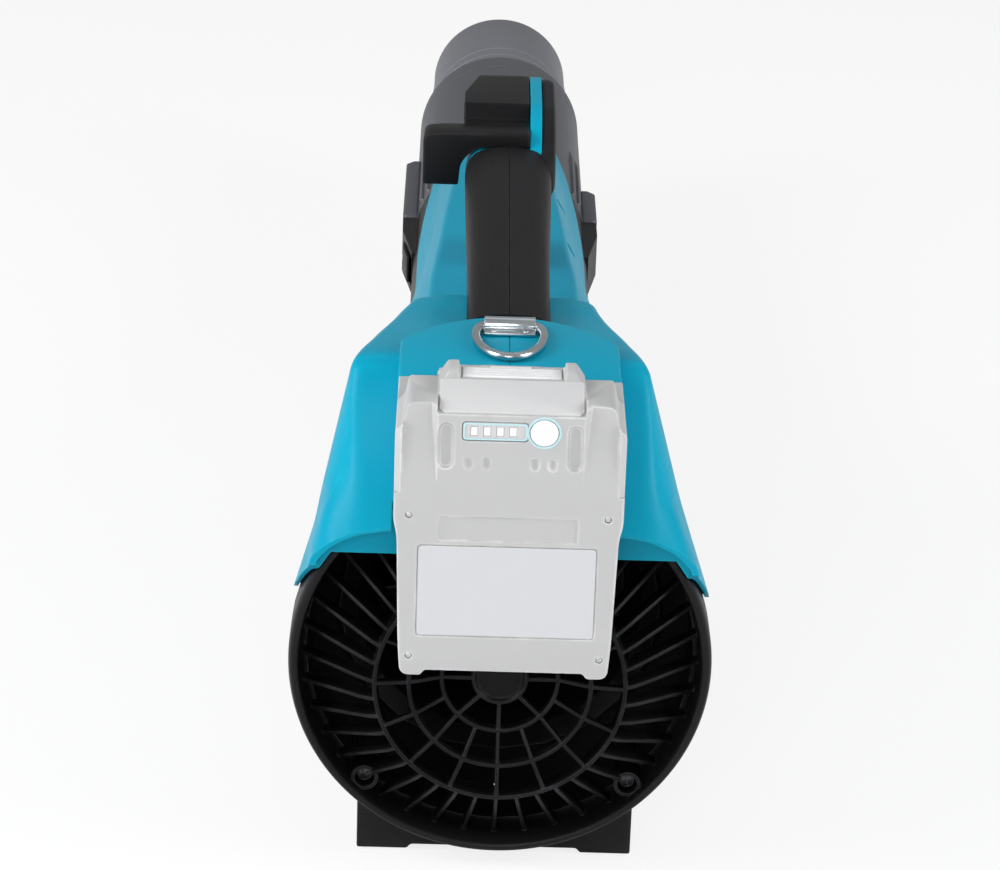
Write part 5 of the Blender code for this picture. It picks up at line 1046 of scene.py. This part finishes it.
def buildBatteryCase():
    face, front, top, bottom = battery["rear"], battery["front"], battery["top"], battery["bottom"]
    case = extruded("case", caseOutline(), "y", face, front, 0.0009, 3)
    shapeRearFace(case)
    flange = dock["face"] - gap - battery["flange"] - gap
    neck = flange - battery["neck"]
    rails = (battery["railBottom"], battery["railTop"])
    join(case, block("neck", (-battery["railInner"], battery["railInner"]), (front - 0.001, neck + 0.001), rails),
         block("tower", (-0.0115, 0.0115), (front - 0.0014, neck - 0.0004),
               (rails[1] - 0.002, top - battery["drop"] - 0.0005)),
         block("flange", (-battery["railOuter"], battery["railOuter"]), (neck, flange), rails, 0.0006, 2))
    cut(case, block("terminalRoom", (-0.0170, 0.0170), (front + 0.0012, 0.0), (0.05, 0.104)),
        block("cellRoom", (-0.0380, 0.0380), (face + battery["wall"] + 0.0012, front - 0.0022),
              (bottom + battery["wall"], top - 0.0162)),
        releaseShape("releaseRoom", gap),
        extruded("gaugeRoom", grown(gaugeOutline(), gap), "y", face - 0.01, face + 0.0012))
    x, z, radius = battery["check"]
    cut(case, rod("checkRoom", (x, face - 0.01, z), (x, face + 0.0021, z), radius + gap, 64))
    rear = newObject("rear", case.data.copy())
    cut(rear, block("ahead", (-0.1, 0.1), (battery["split"] - gap / 2, 0.1), (0.0, 0.2)))
    cut(case, block("behind", (-0.1, 0.1), (-0.2, battery["split"] + gap / 2), (0.0, 0.2)),
        block("above", (-0.1, 0.1), (-0.1, 0.0), (top - battery["drop"], 0.2)),
        block("aside", (-0.1, -0.0275), (-0.1, 0.0), (top - 0.0155, 0.2)),
        block("aside", (0.0275, 0.1), (-0.1, 0.0), (top - 0.0155, 0.2)))
    fitted("batteryRear", rear, "battery", "paleShell", ("battery_case_rear",))
    fitted("batteryFront", case, "battery", "paleShell", ("battery_case_front",))


# The darker panels that lie in the rear face, all bare, and four sunk screws.
def buildBatteryPanels():
    face, top = battery["rear"], battery["top"]
    outline = fillet([(-0.0268, 0.0018), (-0.0250, 0.0), (0.0250, 0.0), (0.0268, 0.0018),
                      (0.0268, 0.0168), (-0.0268, 0.0168)], (0.0004, 0.0004, 0.0004, 0.0004, 0.0008, 0.0008), 4)
    name = extruded("name", outline, "z", -0.0004, 0.0008, 0.0003)
    lean = Matrix.Rotation(math.radians(battery["nameLean"]), 4, "X")
    name.data.transform(Matrix.Translation((0.0, face + 0.0006, top - 0.0072)) @ lean)
    fitted("batteryNamePanel", name, "battery", "paleDark")
    plate = extruded("plate", panelOutline(battery["plate"], 0.0004), "y", face + 0.0001, face + 0.0005, 0.0001, 1)
    fitted("batteryPlate", plate, "battery", "barePlate")
    screws = []
    profile = [(0.0011, 0.0), (0.0011, 0.0012), (0.0006, 0.0012), (0.0004, 0.0009), (0.0004, 0.0)]
    for x, z in battery["screws"]:
        screw = lathe("screw", profile, 24)
        screw.data.transform(Matrix.Translation((x, face, z)))
        slot = block("slot", (x - 0.0008, x + 0.0008), (face, face + 0.0008), (z - 0.0002, z + 0.0002))
        across = block("across", (x - 0.0002, x + 0.0002), (face, face + 0.0008), (z - 0.0008, z + 0.0008))
        screws.append(cut(screw, slot, across))
    fitted("batteryScrews", merged("screws", screws), "battery", "screwPale")


def buildBatteryControls():
    face, top = battery["rear"], battery["top"]
    button = releaseShape("release", 0.0, 0.0008)
    for k in range(3):
        y = -0.0544 + 0.0024 * k
        cut(button, block("groove", (-0.0150, 0.0150), (y, y + 0.0009), (top - 0.0010, top + 0.01)))
    # The release button takes the lighter top plastic as painted light on the top.
    fitted("releaseButton", button, "release", "paleLitTop", ("battery_release",))
    window = extruded("window", gaugeOutline(), "y", face + 0.0001, face + 0.0009, 0.0002)
    left, _, low, high = battery["gauge"]
    lampPlaces = [left + 0.0030 + battery["lampStep"] * k for k in range(battery["lamps"])]
    for x in lampPlaces:
        cut(window, block("lamp", (x - 0.0002, x + 0.0027), (face - 0.01, face + 0.0004),
                          (low + 0.0017, high - 0.0017)))
    fitted("gaugeWindow", window, "battery", "paleDark", ("battery_gauge",))
    frame = extruded("frame", gaugeOutline(0.0002), "y", face - 0.0001, face + 0.0001)
    cut(frame, extruded("inside", gaugeOutline(0.0009), "y", face - 0.01, face + 0.01))
    x, z, radius = battery["check"]
    join(frame, rod("disc", (x, face - 0.0001, z), (x, face + 0.0001, z), radius + 0.0012, 72))
    cut(frame, rod("bore", (x, face - 0.01, z), (x, face + 0.01, z), radius + gap, 72))
    fitted("gaugeFrame", frame, "battery", "gaugeRim")
    lamps = [block("lamp", (x, x + 0.0025), (face + 0.00022, face + 0.0004), (low + 0.0019, high - 0.0019),
                   0.00005, 1) for x in lampPlaces]
    fitted("gaugeLamps", merged("lamps", lamps), "battery", "gaugeLamp")
    x, z, radius = battery["check"]
    cap = lathe("cap", [(0.0012, 0.0), (0.0012, radius), (-0.0003, radius), (-0.0006, radius - 0.0003),
                        (-0.0006, radius - 0.0012), (-0.0003, radius - 0.0015), (-0.0004, 0.0)], 64)
    cap.data.transform(Matrix.Translation((x, face, z)))
    fitted("gaugeButton", cap, "gauge_key", "gaugeKey", ("gauge_button",))


hanger = {
    "bar": 0.0475, "wire": 0.00175, "half": 0.0136, "reach": 0.0345, "top": 0.128, "strap": 0.0103,
    "strapThick": 0.0013, "strapLength": 0.017,
}


# Bent wire ring in the shape of a D, under a strap that is bowed over its bar.
def buildHanger():
    bar, wireRadius, half = hanger["bar"], hanger["wire"], hanger["half"]
    z = hanger["top"] + gap + wireRadius
    tail = bar - hanger["reach"]
    middle = bar - 0.0110
    bow = [(half * math.cos(math.radians(a)), middle + (middle - tail) * math.sin(math.radians(a)))
           for a in range(-5, -180, -5)]
    corner = [(half - 0.0054 * (1 - math.sin(math.radians(a))), middle + 0.0110 * math.cos(math.radians(a)))
              for a in range(0, 91, 9)]
    points = [(x, y, z) for x, y in corner + bow + [(-x, y) for x, y in reversed(corner)]]
    ring = tube("ring", points, wireRadius, closed=True, sides=28)
    fitted("hangingRing", ring, "hanging_ring", "plated", ("dring",), smooth=60)
    base, thick = hanger["top"] + gap, hanger["strapThick"]
    inner, length = wireRadius + gap, hanger["strapLength"] / 2
    outer = inner + thick
    over = [(bar + u, z + v) for u, v in (onCircle(outer, math.radians(a)) for a in range(0, 181, 10))]
    under = [(bar + u, z + v) for u, v in (onCircle(inner, math.radians(a)) for a in range(180, -1, -10))]
    outline = ([(bar + length, base), (bar + length, base + thick), (bar + outer, base + thick)] + over
               + [(bar - outer, base + thick), (bar - length, base + thick), (bar - length, base)]
               + [(bar - inner, base)] + under + [(bar + inner, base)])
    strap = extruded("strap", outline, "x", -hanger["strap"], hanger["strap"], 0.0003, 2)
    for x in (-0.0064, 0.0064):
        for y in (bar - 0.0062, bar + 0.0062):
            join(strap, rod("rivet", (x, y, base + 0.0005), (x, y, base + thick + 0.0005), 0.0013, 24, 0.0010))
    fitted("hangingStrap", strap, "base", "plated", ("dring_bracket",), smooth=40)


nozzle = {
    "radius": 0.0452, "wall": 0.0024, "start": 0.505, "end": 0.688, "tip": 0.0395, "tipWall": 0.0022,
    "tipStart": 0.650, "tipEnd": 0.785, "lugReach": 0.0064, "lugHeight": 0.012, "lugLengths": {1: 0.048, -1: 0.090},
    "latchAxis": 0.478, "latchPin": 0.0010,
}


# Block at the side of the pipe, sloped at its front end and with a sunk panel.
def lug(side, start, length):
    inner, outer = nozzle["radius"] - 0.0016, nozzle["radius"] + nozzle["lugReach"]
    plan = [(inner, start), (outer - 0.0015, start), (outer, start + 0.002), (outer, start + length - 0.005),
            (outer - 0.004, start + length), (inner, start + length)]
    high = nozzle["lugHeight"]
    made = extruded("lug", [(side * x, y) for x, y in plan][::side], "z", -high, high, 0.0011, 3)
    panel = block("panel", sorted((side * (outer - 0.0006), side * (outer + 0.002))),
                  (start + 0.006, start + length - 0.012), (-high + 0.004, high - 0.004))
    return cut(made, panel)


def buildPipe():
    radius, bore, end = nozzle["radius"], nozzle["radius"] - nozzle["wall"], nozzle["end"]
    start, guide = nozzle["start"] + gap, nozzle["tip"] + 0.0004
    profile = fillet([(start, bore), (start, radius), (end - 0.0012, radius), (end, radius - 0.0028), (end, guide),
                      (end - 0.018, guide), (end - 0.022, bore)],
                     (0.0, 0.0006, 0.0040, 0.0012, 0.0005, 0.0, 0.0), 6)
    pipe = turned("pipe", profile, 168)
    for y, sunk, wide in ((start + 0.0062, 0.0005, 0.0011), (end - 0.0185, 0.0004, 0.0009)):
        cut(pipe, turned("ring", [(y, radius - sunk), (y, radius + 0.002), (y + wide, radius + 0.002),
                                  (y + wide, radius - sunk)], 168))
    for side in (1, -1):
        join(pipe, lug(side, start + 0.0002, nozzle["lugLengths"][side]))
    ribs = []
    for side in (-1, 1):
        outline = [(radius - 0.001, start + 0.004), (radius + 0.0016, start + 0.006),
                   (radius + 0.0016, start + 0.064), (radius - 0.001, start + 0.089)]
        for angle in (24, 32):
            ribs.append(radialPlate("rib", outline, -angle if side > 0 else angle - 180, 0.0022, 0.0005))
    join(pipe, merged("ribs", ribs))
    fitted("nozzlePipe", pipe, "nozzle", "pipePlastic", ("nozzle_pipe",))


def buildTip():
    radius, start, end = nozzle["tip"], nozzle["tipStart"], nozzle["tipEnd"]
    bore = radius - nozzle["tipWall"]
    flange = nozzle["radius"] - nozzle["wall"] - 0.0004
    profile = [(start, bore), (start, flange), (start + 0.008, flange), (start + 0.0105, radius)]
    for k in range(3):
        y = start + 0.0480 + 0.0120 * k
        profile += [(y, radius), (y + 0.0003, radius - 0.0004), (y + 0.0011, radius - 0.0004), (y + 0.0014, radius)]
    profile += [(end - 0.040, radius), (end - 0.037, radius - 0.0006), (end - 0.0020, radius - 0.0006),
                (end - 0.0006, radius - 0.0011), (end, radius - 0.0018), (end - 0.0003, bore + 0.0002),
                (end - 0.001, bore)]
    # The tip takes the lighter copy of the pipe plastic as painted light.
    fitted("nozzleTip", turned("tip", profile, 160), "tip", "litTipPlastic", ("nozzle_tip",))


def buildLatch():
    outer, inner = nozzle["radius"] + nozzle["lugReach"] - 0.0010, nozzle["radius"] + 0.0010
    start, end, slope = nozzle["start"] - 0.052, nozzle["start"] - 0.0006, 0.016
    outline = [(-inner, start + slope), (-inner, end), (-outer, end), (-outer, start + slope),
               (-inner - 0.0020, start + 0.002), (-inner - 0.0006, start + 0.002)]
    latch = extruded("latch", outline, "z", -0.0072, 0.0072, 0.0008, 3)
    for k in range(5):
        y = end - 0.0045 - 0.0030 * k
        cut(latch, block("ridge", (-outer - 0.002, -outer + 0.0005), (y - 0.0012, y), (-0.0058, 0.0058)))
    place = (-nozzle["radius"] - nozzle["lugReach"] / 2, nozzle["latchAxis"])
    cut(latch, rod("bore", (*place, -0.02), (*place, 0.02), nozzle["latchPin"] + gap, 32))
    fitted("nozzleLatch", latch, "latch", "blackPlastic", ("nozzle_latch",))


lever = {
    "hub": 0.0115, "left": -0.0208, "right": 0.0093, "paddle": -0.0388, "low": 0.1200,
    "rear": 0.2452, "pin": 0.0019,
    "cap": [(0.2570, 0.1373), (0.2570, 0.1440), (0.2668, 0.1448), (0.2712, 0.1508), (0.3130, 0.1515),
            (0.3212, 0.1484), (0.3200, 0.1390), (0.3040, 0.1373)],
    "capRadii": (0.0, 0.0, 0.0012, 0.0014, 0.0060, 0.0050, 0.0020, 0.0),
}


# Lever cap on its hub, with a thumb bar that ends in a paddle on the left.
def buildLever():
    axis, left, right, rear = handle["leverAxis"], lever["left"], lever["right"], lever["rear"]
    cap = extruded("cap", fillet(lever["cap"], lever["capRadii"], 6), "x", left, right)
    wedge = [(left - 0.003, 0.2760), (-0.0112, 0.3240), (left - 0.003, 0.3240)]
    cut(cap, extruded("wedge", wedge, "z", 0.10, 0.20))
    soften(cap, 0.0009, 3)
    low, far = lever["low"], lever["paddle"]
    front = fillet([(far, low), (-0.0226, low), (-0.0218, 0.1310), (-0.0140, 0.1383), (right, 0.1383),
                    (right, 0.1450), (-0.0300, 0.1450), (far, 0.1440)],
                   (0.0014, 0.0012, 0.0040, 0.0060, 0.0, 0.0, 0.0050, 0.0068), 8)
    bar = extruded("bar", front, "y", rear, 0.2590, 0.0008, 3)
    join(cap, bar)
    join(cap, block("neck", (-0.0140, right), (axis[0] - 0.009, axis[0] + 0.009), (axis[1], 0.1385)),
         crossHole("hub", axis, -0.0140, right, lever["hub"]))
    cut(cap, crossHole("bore", axis, -0.05, 0.05, lever["pin"] + gap))
    fitted("leverCap", cap, "lever", "blackPlastic", ("control_lever",))


stages = {
    "housing and grips": (buildHousing, buildGrips),
    "cover and stand": (buildCover, buildCoverScrews, buildStand),
    "battery": (buildBatteryCase, buildBatteryPanels, buildBatteryControls),
    "hanging ring": (buildHanger,),
    "nozzle": (buildPipe, buildTip, buildLatch),
    "lever": (buildLever,),
}
for stage, steps in stages.items():
    for step in steps:
        step()
    print(stage, "built")
